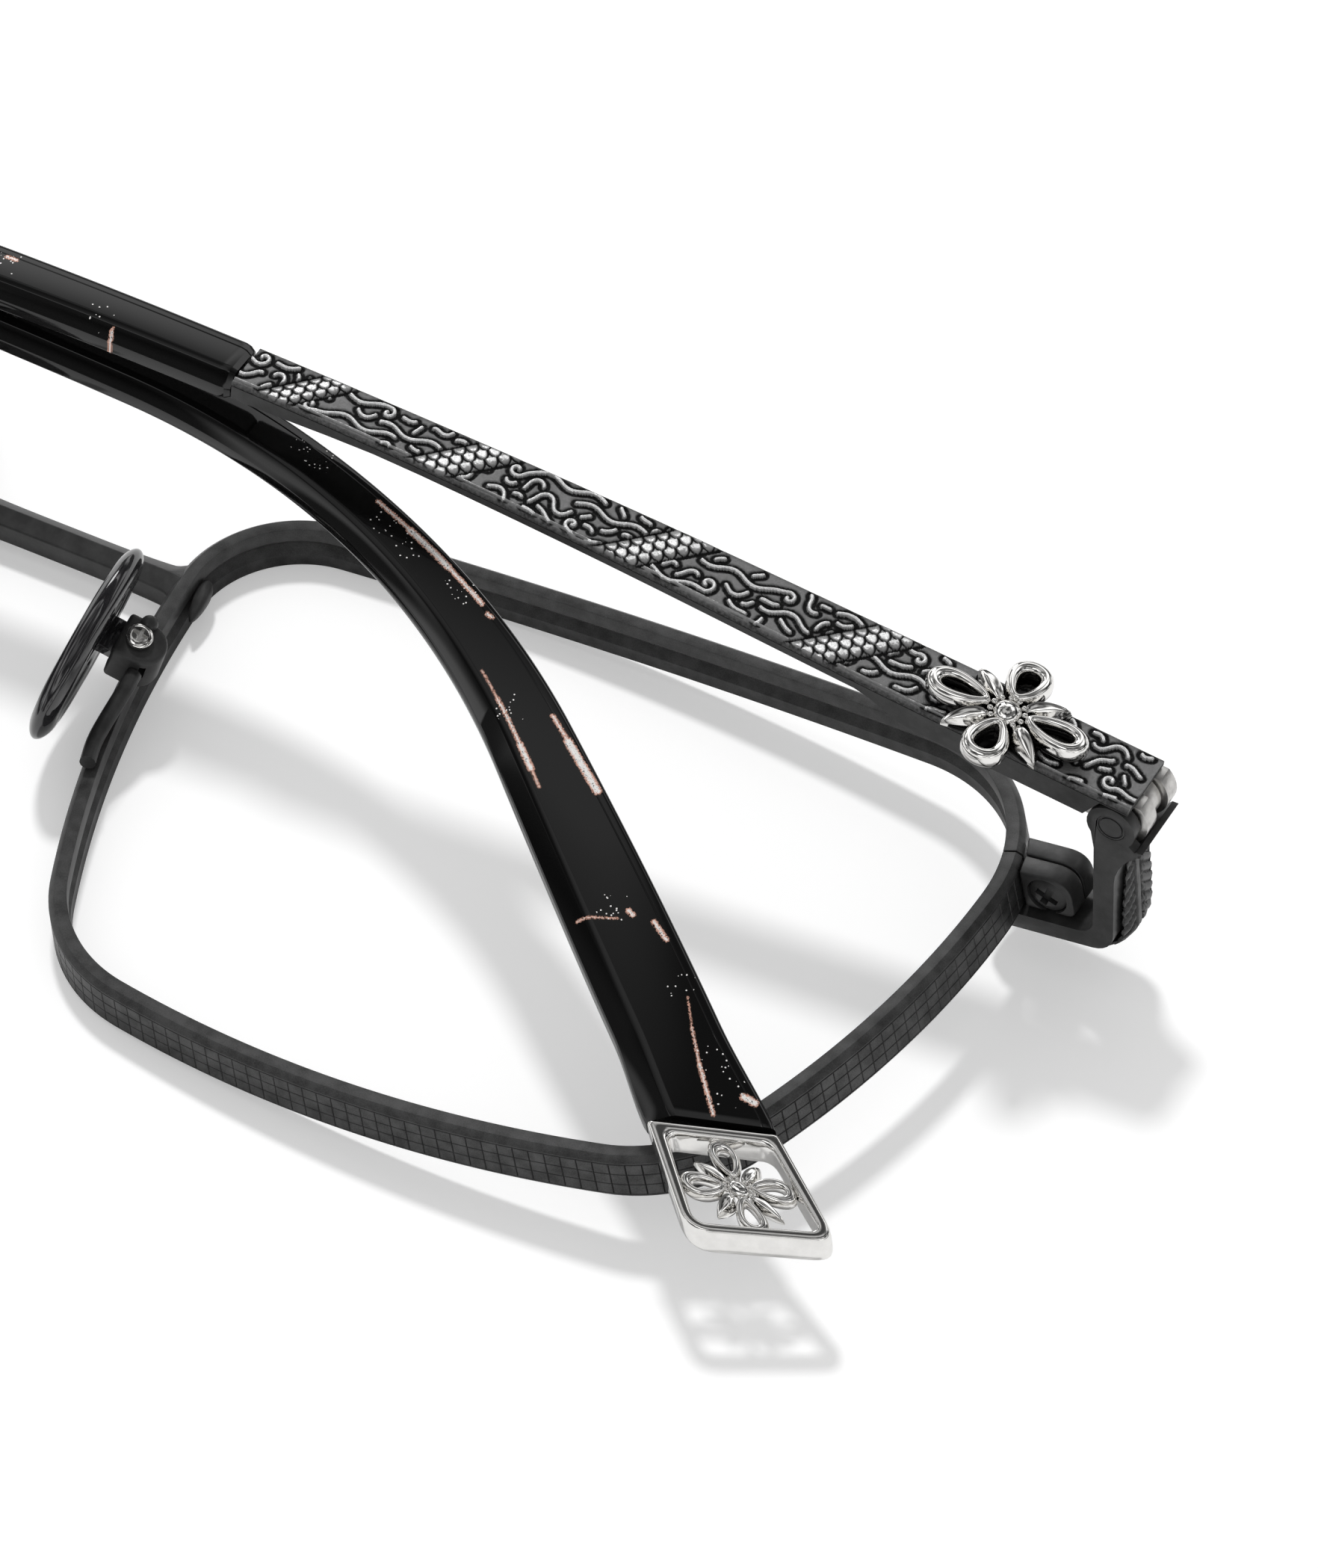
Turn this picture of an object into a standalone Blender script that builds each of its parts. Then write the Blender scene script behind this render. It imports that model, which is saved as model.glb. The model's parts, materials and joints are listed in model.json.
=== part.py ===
# Full-rim metal eyeglass frame with folded temples, lying on the fronts of its rims.
# Metres. +X is the wearer's right, +Y is the brow, +Z points back, away from the lenses.
# Pieces are placed from a datum in the middle of the front; the datum stands behind the origin.

import math

import bmesh
import bpy
from mathutils import Matrix, Vector

# The datum's distance from the origin, which lies under the middle of the folded frame
datum_y = 0.00655

# Clearances
seat_gap = 0.0002
slit_gap = 0.00015
pin_clearance = 0.00008
# How far a cutting body runs past the piece it cuts
cut_reach = 0.004

# Rim: centre of one rim, four corner circles round it (x, y, radius) and the four flat sides
rim_centre_x = 0.03606
brow_temple_x = 0.01657
brow_temple_y = 0.00131
brow_temple_radius = 0.01158
brow_nose_x = -0.02096
brow_nose_y = 0.00553
brow_nose_radius = 0.00725
chin_nose_x = -0.01236
chin_nose_y = -0.01444
chin_nose_radius = 0.01038
chin_temple_x = 0.01548
chin_temple_y = -0.01515
chin_temple_radius = 0.00913
brow_side_radius = 0.211
nose_side_radius = 0.0752
chin_side_radius = 0.0907
temple_side_radius = 0.052

# Rim wire: wall, depth front to back, lens groove and the chamfer on the back
rim_wall = 0.00108
rim_depth = 0.00293
groove_depth = 0.0004
groove_width = 0.0011
rim_chamfer = 0.00022

# Face wrap: the front is flat near the nose, then curves back
wrap_start_x = 0.0112
wrap_rate = 1.575

# Closing block behind the end piece
lock_split_y = 0.0048
lock_lower_height = 0.0008
lock_upper_height = 0.0013
lock_length = 0.0036
lock_depth = 0.0028
lock_corner = 0.0008
lock_screw_radius = 0.0006
lock_head_radius = 0.00115
lock_head_height = 0.0004
lock_screw_reach = 0.0017

# Hinge axis, knuckles and pin
hinge_x = 0.0695
hinge_y = 0.0052
hinge_z = 0.0140
knuckle_radius = 0.0018
ear_radius = 0.00145
pin_radius = 0.00055
pin_head_radius = 0.0008
pin_head_height = 0.00035
ear_thickness = 0.00075
ear_root = 0.0006
ear_flank = -40.0
knuckle_width = 0.00105

# End piece: bracket from the rim's front, round the corner and up to the hinge
bracket_width = 0.0043
arm_thickness = 0.0011
arm_inner_x = 0.0614
strip_inner = 0.0010
strip_outer = 0.00025
corner_radius = 0.0015
hook_reach = 0.00195
hook_drop = 0.00115
hook_height = 0.0032
arm_end_round = 0.0016
inner_corner = 0.0011
cover_thickness = 0.0005
cover_width = 0.0034
cover_end = 0.0036
cover_start = 0.0008
cover_lift_y = 0.0002

# Bridge
bridge_y = 0.0046
bridge_front = 0.0008
bridge_width = 0.0018
bridge_depth = 0.0021
bridge_ridge = 0.0003

# Nose pad, its box, screw and arm
pad_x = 0.00815
pad_y = -0.00495
pad_z = 0.0061
pad_length = 0.0134
pad_width = 0.0080
pad_thickness = 0.0021
pad_lean = 22.0
pad_splay = 5.5
pad_tilt = 8.4
tab_width = 0.0009
tab_length = 0.0022
tab_offset = 0.0011
tab_root = 0.0007
pad_play = 0.0004
box_wall = 0.0006
box_margin = 0.0002
box_depth = 0.0022
box_floor = 0.0003
pad_screw_radius = 0.0004
pad_screw_head_radius = 0.00068
pad_screw_head_height = 0.0004
arm_radius = 0.00048
arm_weld_y = -0.0110
arm_weld_length = 0.0020
arm_lead = 0.0011

# Temple: lengths along it from the hinge axis, widths, thicknesses and curves
bar_overhang = 0.0008
bar_length = 0.0561
tip_end = 0.1347
cap_length = 0.0071
cap_flare = 0.00055
cap_thickness = 0.0018
joint_shear = 0.55
far_shear = 0.50
temple_top = 0.0021
bar_width_hinge = 0.0043
bar_width_joint = 0.0031
bar_thickness = 0.00125
bar_thickness_joint = 0.0018
housing_length = 0.0130
housing_thickness = 0.0023
relief_bevel = 0.0003
tip_thickness = 0.0020
tip_width_start = 0.0031
tip_width_bend = 0.0032
tip_width_end = 0.0062
tip_neck = 0.0055
tip_flare_length = 0.006
tip_ridge = 0.0009
tip_soft = 0.00035
tip_edge_drop = 0.0010
bow_start = 0.0247
bow_rate = 2.5
curl_start = 0.0497
curl_rate = 3.2
bend_start = 0.0761
bend_radius = 0.0508
bend_angle = 38.6
right_lift = 7.4
left_lift = 4.6

# Hinge leaf let into the bar's underside
leaf_start = 0.00165
leaf_end = 0.0031
plate_thickness = 0.00055
leaf_foot = 0.0008
cheek_slope = 0.0009

# Silver ornaments: oval rosettes
rosette_place = 0.0076
rosette_shift = -0.0005
rosette_length = 0.0090
rosette_width = 0.0070
rosette_height = 0.0013
rosette_notch = 0.60
leaf_reach = 0.30
loop_place = 0.66
loop_hole = 0.17
window_margin = 0.0007
window_corner = 0.0007
cap_corner = 0.0015
cap_rosette_height = 0.0009
cap_rosette_drop = 0.0003

colours = {
    "satin black": ((0.030, 0.030, 0.032, 1.0), 0.42, 0.85),
    "gunmetal": ((0.22, 0.22, 0.22, 1.0), 0.38, 0.95),
    "silver": ((0.80, 0.80, 0.78, 1.0), 0.20, 1.0),
    "steel": ((0.62, 0.60, 0.58, 1.0), 0.34, 1.0),
    "black acetate": ((0.012, 0.012, 0.013, 1.0), 0.12, 0.0),
    "dark pad": ((0.020, 0.020, 0.022, 1.0), 0.15, 0.0),
}


def clear_scene():
    for item in list(bpy.data.objects):
        bpy.data.objects.remove(item, do_unlink=True)


def get_material(name):
    found = bpy.data.materials.get(name)
    if found:
        return found
    colour, roughness, metallic = colours[name]
    made = bpy.data.materials.new(name)
    made.use_nodes = True
    shader = made.node_tree.nodes["Principled BSDF"]
    shader.inputs["Base Color"].default_value = colour
    shader.inputs["Roughness"].default_value = roughness
    shader.inputs["Metallic"].default_value = metallic
    return made


def add_piece(name, bm, material, parent):
    # Turns a closed bmesh into a named object whose faces point outwards
    bmesh.ops.recalc_face_normals(bm, faces=bm.faces)
    mesh = bpy.data.meshes.new(name)
    bm.to_mesh(mesh)
    bm.free()
    mesh.shade_smooth()
    mesh.set_sharp_from_angle(angle=math.radians(32.0))
    mesh.materials.append(get_material(material))
    piece = bpy.data.objects.new(name, mesh)
    bpy.context.collection.objects.link(piece)
    piece.parent = parent
    return piece


def add_cutter(name, bm, parent):
    bmesh.ops.recalc_face_normals(bm, faces=bm.faces)
    mesh = bpy.data.meshes.new(name)
    bm.to_mesh(mesh)
    bm.free()
    cutter = bpy.data.objects.new(name, mesh)
    bpy.context.collection.objects.link(cutter)
    cutter.parent = parent
    cutter.hide_render = True
    cutter.display_type = "WIRE"
    return cutter


def apply_boolean(piece, cutter, operation):
    step = piece.modifiers.new(cutter.name, "BOOLEAN")
    step.operation = operation
    step.solver = "EXACT"
    step.object = cutter


def add_axis(name, location, turn, parent):
    axis = bpy.data.objects.new(name, None)
    bpy.context.collection.objects.link(axis)
    axis.location = location
    axis.rotation_euler = turn
    axis.empty_display_size = 0.005
    axis.parent = parent
    return axis


def loft(rings):
    # A closed body through rings of equal point counts, with a flat cap at each end
    bm = bmesh.new()
    loops = [[bm.verts.new(point) for point in ring] for ring in rings]
    count = len(loops[0])
    for near, far in zip(loops, loops[1:]):
        for i in range(count):
            j = (i + 1) % count
            bm.faces.new((near[i], near[j], far[j], far[i]))
    bm.faces.new(list(reversed(loops[0])))
    bm.faces.new(loops[-1])
    return bm


def prism(outline, low, high):
    # An outline of (x, z) points extruded along Y from low to high
    near = [Vector((x, low, z)) for x, z in outline]
    far = [Vector((x, high, z)) for x, z in outline]
    return loft([near, far])


def turned(profile, start, direction, steps):
    # A solid turned round the line from start along direction; profile is (distance, radius) pairs
    axis = Vector(direction).normalized()
    side = axis.orthogonal().normalized()
    other = axis.cross(side)
    rings = []
    for distance, radius in profile:
        ring = []
        for i in range(steps):
            angle = 2.0 * math.pi * i / steps
            spoke = side * math.cos(angle) + other * math.sin(angle)
            ring.append(Vector(start) + axis * distance + spoke * radius)
        rings.append(ring)
    return loft(rings)


def bore_body(radius, centre, direction):
    # A cutting body for a pin or screw of the given radius, through the centre both ways
    loose = radius + pin_clearance
    return turned([(-cut_reach, loose), (cut_reach, loose)], centre, direction, 20)


def arc(centre_x, centre_y, radius, start, end, steps):
    # Points on a circle from angle start to angle end, in degrees
    points = []
    for i in range(steps + 1):
        angle = math.radians(start + (end - start) * i / steps)
        points.append((centre_x + radius * math.cos(angle), centre_y + radius * math.sin(angle)))
    return points


def wrap_z(x):
    # How far the front's surface stands back at distance x from the middle
    edge = rim_centre_x + brow_temple_x + brow_temple_radius
    reach = max(0.0, min(abs(x), edge) - wrap_start_x)
    beyond = max(0.0, abs(x) - edge)
    return wrap_rate * reach * reach + wrap_slope(edge) * beyond


def wrap_slope(x):
    edge = rim_centre_x + brow_temple_x + brow_temple_radius
    reach = max(0.0, min(abs(x), edge) - wrap_start_x)
    return 2.0 * wrap_rate * reach


def on_front(x, y, depth, side):
    # A point at the given depth behind the wrapped front; side is 1 on the right, -1 on the left
    lean = math.atan(wrap_slope(x))
    return Vector((side * (x - depth * math.sin(lean)), y, wrap_z(x) + depth * math.cos(lean)))


def side_centre(first, second, radius):
    # Centre of the flat side that runs inside two corner circles, going anticlockwise
    gap = Vector((second[0] - first[0], second[1] - first[1]))
    span = gap.length
    near = radius - first[2]
    far = radius - second[2]
    along = (near * near - far * far + span * span) / (2.0 * span)
    across = math.sqrt(near * near - along * along)
    unit = gap / span
    inward = Vector((-unit.y, unit.x))
    return (first[0] + unit.x * along + inward.x * across, first[1] + unit.y * along + inward.y * across)


def direction_angle(origin, target):
    return math.degrees(math.atan2(target[1] - origin[1], target[0] - origin[0]))


def rim_corners():
    return [
        (rim_centre_x + brow_temple_x, brow_temple_y, brow_temple_radius),
        (rim_centre_x + brow_nose_x, brow_nose_y, brow_nose_radius),
        (rim_centre_x + chin_nose_x, chin_nose_y, chin_nose_radius),
        (rim_centre_x + chin_temple_x, chin_temple_y, chin_temple_radius),
    ]


def rim_outline():
    # Points with outward directions round the rim's outer edge, from one side of the split
    # to the other: corner arcs joined by long side arcs, anticlockwise
    corners = rim_corners()
    radii = [brow_side_radius, nose_side_radius, chin_side_radius, temple_side_radius]
    middles = [side_centre(corners[i], corners[(i + 1) % 4], radii[i]) for i in range(4)]
    split = math.degrees(math.asin((lock_split_y - brow_temple_y) / brow_temple_radius))
    half_slit = math.degrees(0.5 * slit_gap / brow_temple_radius)
    path = []

    def follow(centre, radius, start, end, steps):
        while end < start:
            end += 360.0
        for i in range(steps):
            angle = math.radians(start + (end - start) * i / steps)
            out = Vector((math.cos(angle), math.sin(angle)))
            path.append((Vector(centre[:2]) + out * radius, out))

    corner_steps = [9, 9, 10, 9]
    side_steps = [9, 5, 7, 5]
    for i in range(4):
        before = middles[i - 1]
        after = middles[i]
        start = split + half_slit if i == 0 else direction_angle(before, corners[i])
        follow(corners[i], corners[i][2], start, direction_angle(after, corners[i]), corner_steps[i])
        following = corners[(i + 1) % 4]
        follow(after, radii[i], direction_angle(after, corners[i]), direction_angle(after, following),
               side_steps[i])
    opening = direction_angle(middles[3], corners[0])
    follow(corners[0], corners[0][2], opening, split - half_slit, 2)
    last = math.radians(split - half_slit)
    out = Vector((math.cos(last), math.sin(last)))
    path.append((Vector(corners[0][:2]) + out * corners[0][2], out))
    return path


def rim_edge_x(y):
    # The rim's outer edge in its upper temple corner, at height y
    rise = y - brow_temple_y
    return rim_centre_x + brow_temple_x + math.sqrt(brow_temple_radius ** 2 - rise * rise)


def nose_edge_x():
    return rim_centre_x + brow_nose_x - brow_nose_radius


def make_rim(side, name, parent):
    middle = 0.5 * rim_depth
    half = 0.5 * groove_width
    section = [
        (rim_chamfer, 0.0),
        (rim_wall, 0.0),
        (rim_wall, middle - half),
        (rim_wall - groove_depth, middle),
        (rim_wall, middle + half),
        (rim_wall, rim_depth),
        (rim_chamfer, rim_depth),
        (0.0, rim_depth - rim_chamfer),
        (0.0, rim_chamfer),
    ]
    rings = []
    for point, out in rim_outline():
        ring = []
        for inset, depth in section:
            spot = point - out * inset
            ring.append(on_front(spot.x, spot.y, depth, side))
        rings.append(ring)
    add_piece(name, loft(rings), "satin black", parent)


def make_bridge(parent):
    # A bar with a ridged back whose ends follow the rims' round corners
    corner_x = rim_centre_x + brow_nose_x
    reach = brow_nose_radius + seat_gap
    half = 0.5 * bridge_width
    section = [
        (-half, bridge_front + bridge_ridge),
        (-half + bridge_ridge, bridge_front),
        (half - bridge_ridge, bridge_front),
        (half, bridge_front + bridge_ridge),
        (half, bridge_front + bridge_depth - 2.0 * bridge_ridge),
        (0.0, bridge_front + bridge_depth),
        (-half, bridge_front + bridge_depth - 2.0 * bridge_ridge),
    ]
    steps = 8
    rings = []
    for i in range(steps + 1):
        share = 2.0 * i / steps - 1.0
        ring = []
        for offset, z in section:
            flare = 1.0 + 0.35 * share ** 4
            y = bridge_y + offset * flare
            end_x = corner_x - math.sqrt(reach ** 2 - (y - brow_nose_y) ** 2)
            ring.append(Vector((share * end_x, y, z)))
        rings.append(ring)
    add_piece("bridge", loft(rings), "satin black", parent)


def lock_outline(low, high, round_low):
    # Block half in plan: its inner edge follows the rim, its outer end is rounded
    centre_x, centre_y, radius = rim_corners()[0]
    grip = radius + seat_gap
    outer_x = rim_edge_x(lock_split_y) + lock_length
    first = math.degrees(math.asin((low - centre_y) / grip))
    last = math.degrees(math.asin((high - centre_y) / grip))
    inner = arc(centre_x, centre_y, grip, last, first, 3)
    corner = min(lock_corner, 0.9 * (high - low))
    if round_low:
        outer = arc(outer_x - corner, low + corner, corner, -90.0, 0.0, 4) + [(outer_x, high)]
    else:
        outer = [(outer_x, low)] + arc(outer_x - corner, high - corner, corner, 0.0, 90.0, 4)
    return inner + outer


def screw_spot():
    # The closing screw's place: x along the block and z in its depth
    x = rim_edge_x(lock_split_y) + 0.5 * lock_length
    return x, wrap_z(x) + 0.5 * lock_depth


def make_lock(side, tag, parent):
    split = 0.5 * slit_gap
    halves = [
        ("lock_lower_" + tag, lock_split_y - lock_lower_height, lock_split_y - split, True),
        ("lock_upper_" + tag, lock_split_y + split, lock_split_y + lock_upper_height, False),
    ]
    screw_x, screw_z = screw_spot()
    for name, low, high, round_low in halves:
        outline = lock_outline(low, high, round_low)
        near = [on_front(x, y, seat_gap, side) for x, y in outline]
        far = [on_front(x, y, lock_depth, side) for x, y in outline]
        block = add_piece(name, loft([near, far]), "satin black", parent)
        bore = bore_body(lock_screw_radius, (side * screw_x, low, screw_z), (0, 1, 0))
        apply_boolean(block, add_cutter(name + "_bore", bore, parent), "DIFFERENCE")
    face = lock_split_y - lock_lower_height - seat_gap
    profile = [
        (-lock_head_height, 0.8 * lock_head_radius),
        (-0.6 * lock_head_height, lock_head_radius),
        (0.0, lock_head_radius),
        (0.0001, lock_screw_radius),
        (lock_screw_reach, lock_screw_radius),
    ]
    screw = turned(profile, (side * screw_x, face, screw_z), (0, 1, 0), 20)
    add_piece("lock_screw_" + tag, screw, "satin black", parent)


def arm_back(x):
    return wrap_z(x) - seat_gap


def bracket_front(spread, end_x):
    # The end piece's outer line seen from the chin, as (x, z): along the arm's front, round the
    # corner and up the outer side. Spread moves the line outwards, for the carved cover
    outer_x = hinge_x + strip_outer + spread
    thickness = arm_thickness + spread
    corner = corner_radius + spread
    turn = math.degrees(math.atan(wrap_slope(outer_x)))
    centre_x = outer_x - corner
    lowest = arm_back(centre_x) - thickness
    steps = 5
    front = []
    for i in range(steps):
        x = end_x + (centre_x - end_x) * i / steps
        front.append((x, arm_back(x) - thickness))
    return front + arc(centre_x, lowest + corner, corner, -90.0 + turn, 0.0, 6)


def make_end_piece(side, tag, parent):
    low = hinge_y - 0.5 * bracket_width
    high = hinge_y + 0.5 * bracket_width
    outer = bracket_front(0.0, arm_inner_x)
    # The hook flares out to meet the open temple's end
    start = (hinge_x + strip_outer, hinge_z - hook_drop - hook_height)
    tip = (hinge_x + hook_reach, hinge_z - hook_drop)
    steps = 5
    for i in range(steps + 1):
        share = i / steps
        outer.append((start[0] + (tip[0] - start[0]) * share ** 2, start[1] + (tip[1] - start[1]) * share))
    seat = knuckle_radius + slit_gap
    inner_x = hinge_x - strip_inner
    right_angle = math.degrees(math.asin(-hook_drop / seat))
    left_angle = -180.0 + math.degrees(math.acos(strip_inner / seat))
    cradle = arc(hinge_x, hinge_z, seat, right_angle, left_angle, 8)
    floor_x = inner_x - inner_corner
    inside = arc(floor_x, arm_back(floor_x) + inner_corner, inner_corner, 0.0, -80.0, 5)
    back = []
    steps = 4
    for i in range(1, steps + 1):
        x = floor_x + (arm_inner_x + 0.0002 - floor_x) * i / steps
        back.append((x, arm_back(x)))
    outline = outer + cradle + inside + back
    bracket = prism([(side * x, z) for x, z in outline], low, high)
    corners = []
    for edge in bracket.edges:
        first, second = edge.verts
        at_end = max(abs(first.co.x), abs(second.co.x)) < arm_inner_x + 0.0003
        if at_end and abs(first.co.y - second.co.y) < 1e-6:
            corners.append(edge)
    bmesh.ops.bevel(bracket, geom=corners, offset=arm_end_round, segments=4, profile=0.5, affect="EDGES")
    piece = add_piece("endpiece_" + tag, bracket, "satin black", parent)
    # Ear round the pin on the chin side
    ear_low = hinge_z - knuckle_radius - ear_root
    ear = [(hinge_x - 0.95 * strip_inner, ear_low)]
    ear += [(hinge_x + 0.9 * hook_reach, hinge_z - 1.35 * hook_drop)]
    ear += arc(hinge_x, hinge_z, ear_radius, ear_flank, 215.0, 18)
    body = prism([(side * x, z) for x, z in ear], low, low + ear_thickness)
    apply_boolean(piece, add_cutter("endpiece_ear_" + tag, body, parent), "UNION")
    bore = pin_head_radius + pin_clearance
    shaft = pin_radius + pin_clearance
    seat_depth = pin_head_height + slit_gap
    hole = turned([(-cut_reach, bore), (seat_depth, bore), (seat_depth, shaft), (cut_reach, shaft)],
                  (side * hinge_x, low, hinge_z), (0, 1, 0), 20)
    apply_boolean(piece, add_cutter("endpiece_bore_" + tag, hole, parent), "DIFFERENCE")


def make_cover(side, tag, parent):
    # Carved cover on the bracket's front and outer side; a domed strip that follows the outline
    start_x = rim_edge_x(lock_split_y) - cover_start
    inner = bracket_front(seat_gap, start_x)
    outer = bracket_front(seat_gap + cover_thickness, start_x)
    steps = 3
    top = hinge_z - cover_end
    for line in (inner, outer):
        foot = line[-1]
        for i in range(1, steps + 1):
            line.append((foot[0], foot[1] + (top - foot[1]) * i / steps))
    middle = hinge_y + cover_lift_y
    count = len(inner)
    rings = []
    for i in range(count):
        share = i / (count - 1)
        half = 0.5 * cover_width * min(1.0, 0.55 + 2.2 * share, 0.70 + 2.6 * (1.0 - share))
        root = Vector((side * inner[i][0], 0.0, inner[i][1]))
        crest = Vector((side * outer[i][0], 0.0, outer[i][1]))
        rise = crest - root
        taper = min(1.0, 0.45 + 3.0 * share, 0.35 + 2.5 * (1.0 - share))
        ring = []
        for across, height in ((-1.0, 0.0), (1.0, 0.0), (1.0, 0.35), (0.72, 0.75), (0.3, 0.97),
                               (-0.3, 0.97), (-0.72, 0.75), (-1.0, 0.35)):
            point = root + rise * height * taper
            ring.append(Vector((point.x, middle + across * half, point.z)))
        rings.append(ring)
    add_piece("endpiece_cover_" + tag, loft(rings), "gunmetal", parent)


def knuckle_ranges():
    # Y ranges of the three steel knuckles behind the ear, chin side first
    start = hinge_y - 0.5 * bracket_width + ear_thickness + slit_gap
    ranges = []
    for i in range(3):
        ranges.append((start, start + knuckle_width))
        start += knuckle_width + slit_gap
    return ranges


def make_fixed_knuckle(side, tag, parent):
    low, high = knuckle_ranges()[1]
    foot = knuckle_radius - slit_gap
    outline = arc(hinge_x, hinge_z, ear_radius, -32.0, 212.0, 20)
    outline += arc(hinge_x, hinge_z, foot, -122.0, -58.0, 6)
    name = "hinge_knuckle_" + tag
    piece = add_piece(name, prism([(side * x, z) for x, z in outline], low, high), "steel", parent)
    hole = bore_body(pin_radius, (side * hinge_x, low, hinge_z), (0, 1, 0))
    apply_boolean(piece, add_cutter(name + "_bore", hole, parent), "DIFFERENCE")


def make_pin(side, tag, parent):
    low = hinge_y - 0.5 * bracket_width
    end = knuckle_ranges()[2][1] - low
    profile = [
        (-0.00006, 0.85 * pin_head_radius),
        (0.00002, pin_head_radius),
        (pin_head_height, pin_head_radius),
        (pin_head_height, pin_radius),
        (end, pin_radius),
    ]
    pin = turned(profile, (side * hinge_x, low, hinge_z), (0, 1, 0), 20)
    add_piece("hinge_pin_" + tag, pin, "satin black", parent)


def top_height(s):
    # Height of the temple's outer face over the hinge axis, at distance s along the temple
    bow = max(0.0, min(s, curl_start) - bow_start)
    curl = max(0.0, s - curl_start)
    slope = -bow_rate * max(0.0, curl_start - bow_start)
    return temple_top - 0.5 * bow_rate * bow * bow + slope * curl - 0.5 * curl_rate * curl * curl


def temple_frame(s):
    # Centre line in plan (along, across) and the unit direction towards the brow side
    total = math.radians(bend_angle)
    bend_length = bend_radius * total
    turn = min(max(0.0, s - bend_start) / bend_radius, total)
    along = min(s, bend_start) + bend_radius * math.sin(turn)
    across = -bend_radius * (1.0 - math.cos(turn))
    rest = max(0.0, s - bend_start - bend_length)
    along += rest * math.cos(turn)
    across -= rest * math.sin(turn)
    return along, across, math.sin(turn), math.cos(turn)


def temple_point(s, across, drop, side):
    # A point in the temple's own frame: across towards the brow, drop below the outer face
    along, centre, lean, upright = temple_frame(s)
    x = along + lean * across
    return Vector((-side * x, centre + upright * across, top_height(s) - drop))


def blend(value, low, high, first, last):
    # Smooth change from first to last while value goes from low to high
    share = min(1.0, max(0.0, (value - low) / (high - low)))
    share = share * share * (3.0 - 2.0 * share)
    return first + (last - first) * share


def bar_width(s):
    return blend(s, 0.008, bar_length, bar_width_hinge, bar_width_joint)


def bar_section(s):
    width = bar_width(s)
    half = 0.5 * width
    thickness = blend(s, housing_length - 0.0005, housing_length + 0.003, housing_thickness, bar_thickness)
    thickness += blend(s, bar_length - 0.011, bar_length, 0.0, bar_thickness_joint - bar_thickness)
    return [
        (half - relief_bevel, 0.0),
        (half, relief_bevel),
        (half, thickness - relief_bevel),
        (half - relief_bevel, thickness),
        (-half + relief_bevel, thickness),
        (-half, thickness - relief_bevel),
        (-half, relief_bevel),
        (-half + relief_bevel, 0.0),
    ]


def make_temple_bar(side, tag, parent):
    stations = [-bar_overhang, 0.002, 0.006, 0.010, 0.0125, 0.0132, 0.0140, 0.0150, 0.0160, 0.019]
    stations += [0.019 + (bar_length - 0.019) * i / 12 for i in range(1, 13)]
    rings = []
    for s in stations:
        rings.append([temple_point(s, across, drop, side) for across, drop in bar_section(s)])
    bar = add_piece("temple_bar_" + tag, loft(rings), "gunmetal", parent)
    # Pocket for the hinge leaf, open at the end and on the brow side
    half = 0.5 * bar_width_hinge
    under = temple_top - plate_thickness
    deep = -cut_reach
    back = -leaf_end - slit_gap
    pocket = [(cut_reach, under), (back, under), (back, deep), (cut_reach, deep)]
    cheek = -half + ear_thickness
    shape = prism([(side * x, z) for x, z in pocket], cheek, half + 0.001)
    apply_boolean(bar, add_cutter("temple_pocket_" + tag, shape, parent), "DIFFERENCE")
    # The cheek on the chin side ends in a slope that clears the ear
    clear = ear_radius + slit_gap
    slope = [(cut_reach, under), (-0.55 * clear, under), (-clear - cheek_slope, 0.3 * deep),
             (-leaf_end, deep), (cut_reach, deep)]
    shape = prism([(side * x, z) for x, z in slope], -half - 0.001, cheek + 0.0001)
    apply_boolean(bar, add_cutter("temple_slope_" + tag, shape, parent), "DIFFERENCE")


def make_hinge_leaf(side, tag, parent):
    # Two knuckles joined by a block that sits in the bar's pocket
    ranges = knuckle_ranges()
    low = ranges[0][0] - hinge_y
    high = ranges[2][1] - hinge_y
    top = temple_top - plate_thickness - slit_gap
    limit = math.degrees(math.asin(top / knuckle_radius))
    block = [(-leaf_end, top), (-leaf_end, -leaf_foot), (-leaf_start, -leaf_foot), (-leaf_start, top)]
    name = "hinge_leaf_" + tag
    round_part = [(side * x, z) for x, z in arc(0.0, 0.0, knuckle_radius, 180.0 - limit, 360.0 + limit, 26)]
    leaf = add_piece(name, prism([(side * x, z) for x, z in block], low, high), "steel", parent)
    for i in (0, 2):
        near = ranges[i][0] - hinge_y
        far = ranges[i][1] - hinge_y
        knuckle = add_cutter(name + "_knuckle_" + str(i), prism(round_part, near, far), parent)
        apply_boolean(leaf, knuckle, "UNION")
    hole = bore_body(pin_radius, (0, low, 0), (0, 1, 0))
    apply_boolean(leaf, add_cutter(name + "_bore", hole, parent), "DIFFERENCE")


def tip_width(s):
    flare_start = tip_end - tip_flare_length
    width = blend(s, bar_length, bend_start + 0.010, tip_width_start, tip_width_bend)
    width += blend(s, bend_start + 0.010, flare_start, 0.0, tip_neck - tip_width_bend)
    return width + blend(s, flare_start, tip_end, 0.0, tip_width_end - tip_neck)


def tip_section(s):
    # Flat from the brow edge to a ridge near the chin side, then sloping to the chin edge
    half = 0.5 * tip_width(s)
    return [
        (half - tip_soft, 0.0),
        (half, tip_soft),
        (half, tip_thickness - tip_soft),
        (half - tip_soft, tip_thickness),
        (-half + tip_soft, tip_thickness),
        (-half, tip_thickness - tip_soft),
        (-half, tip_edge_drop),
        (-tip_ridge * half / (0.5 * tip_width_start), 0.0),
    ]


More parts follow.
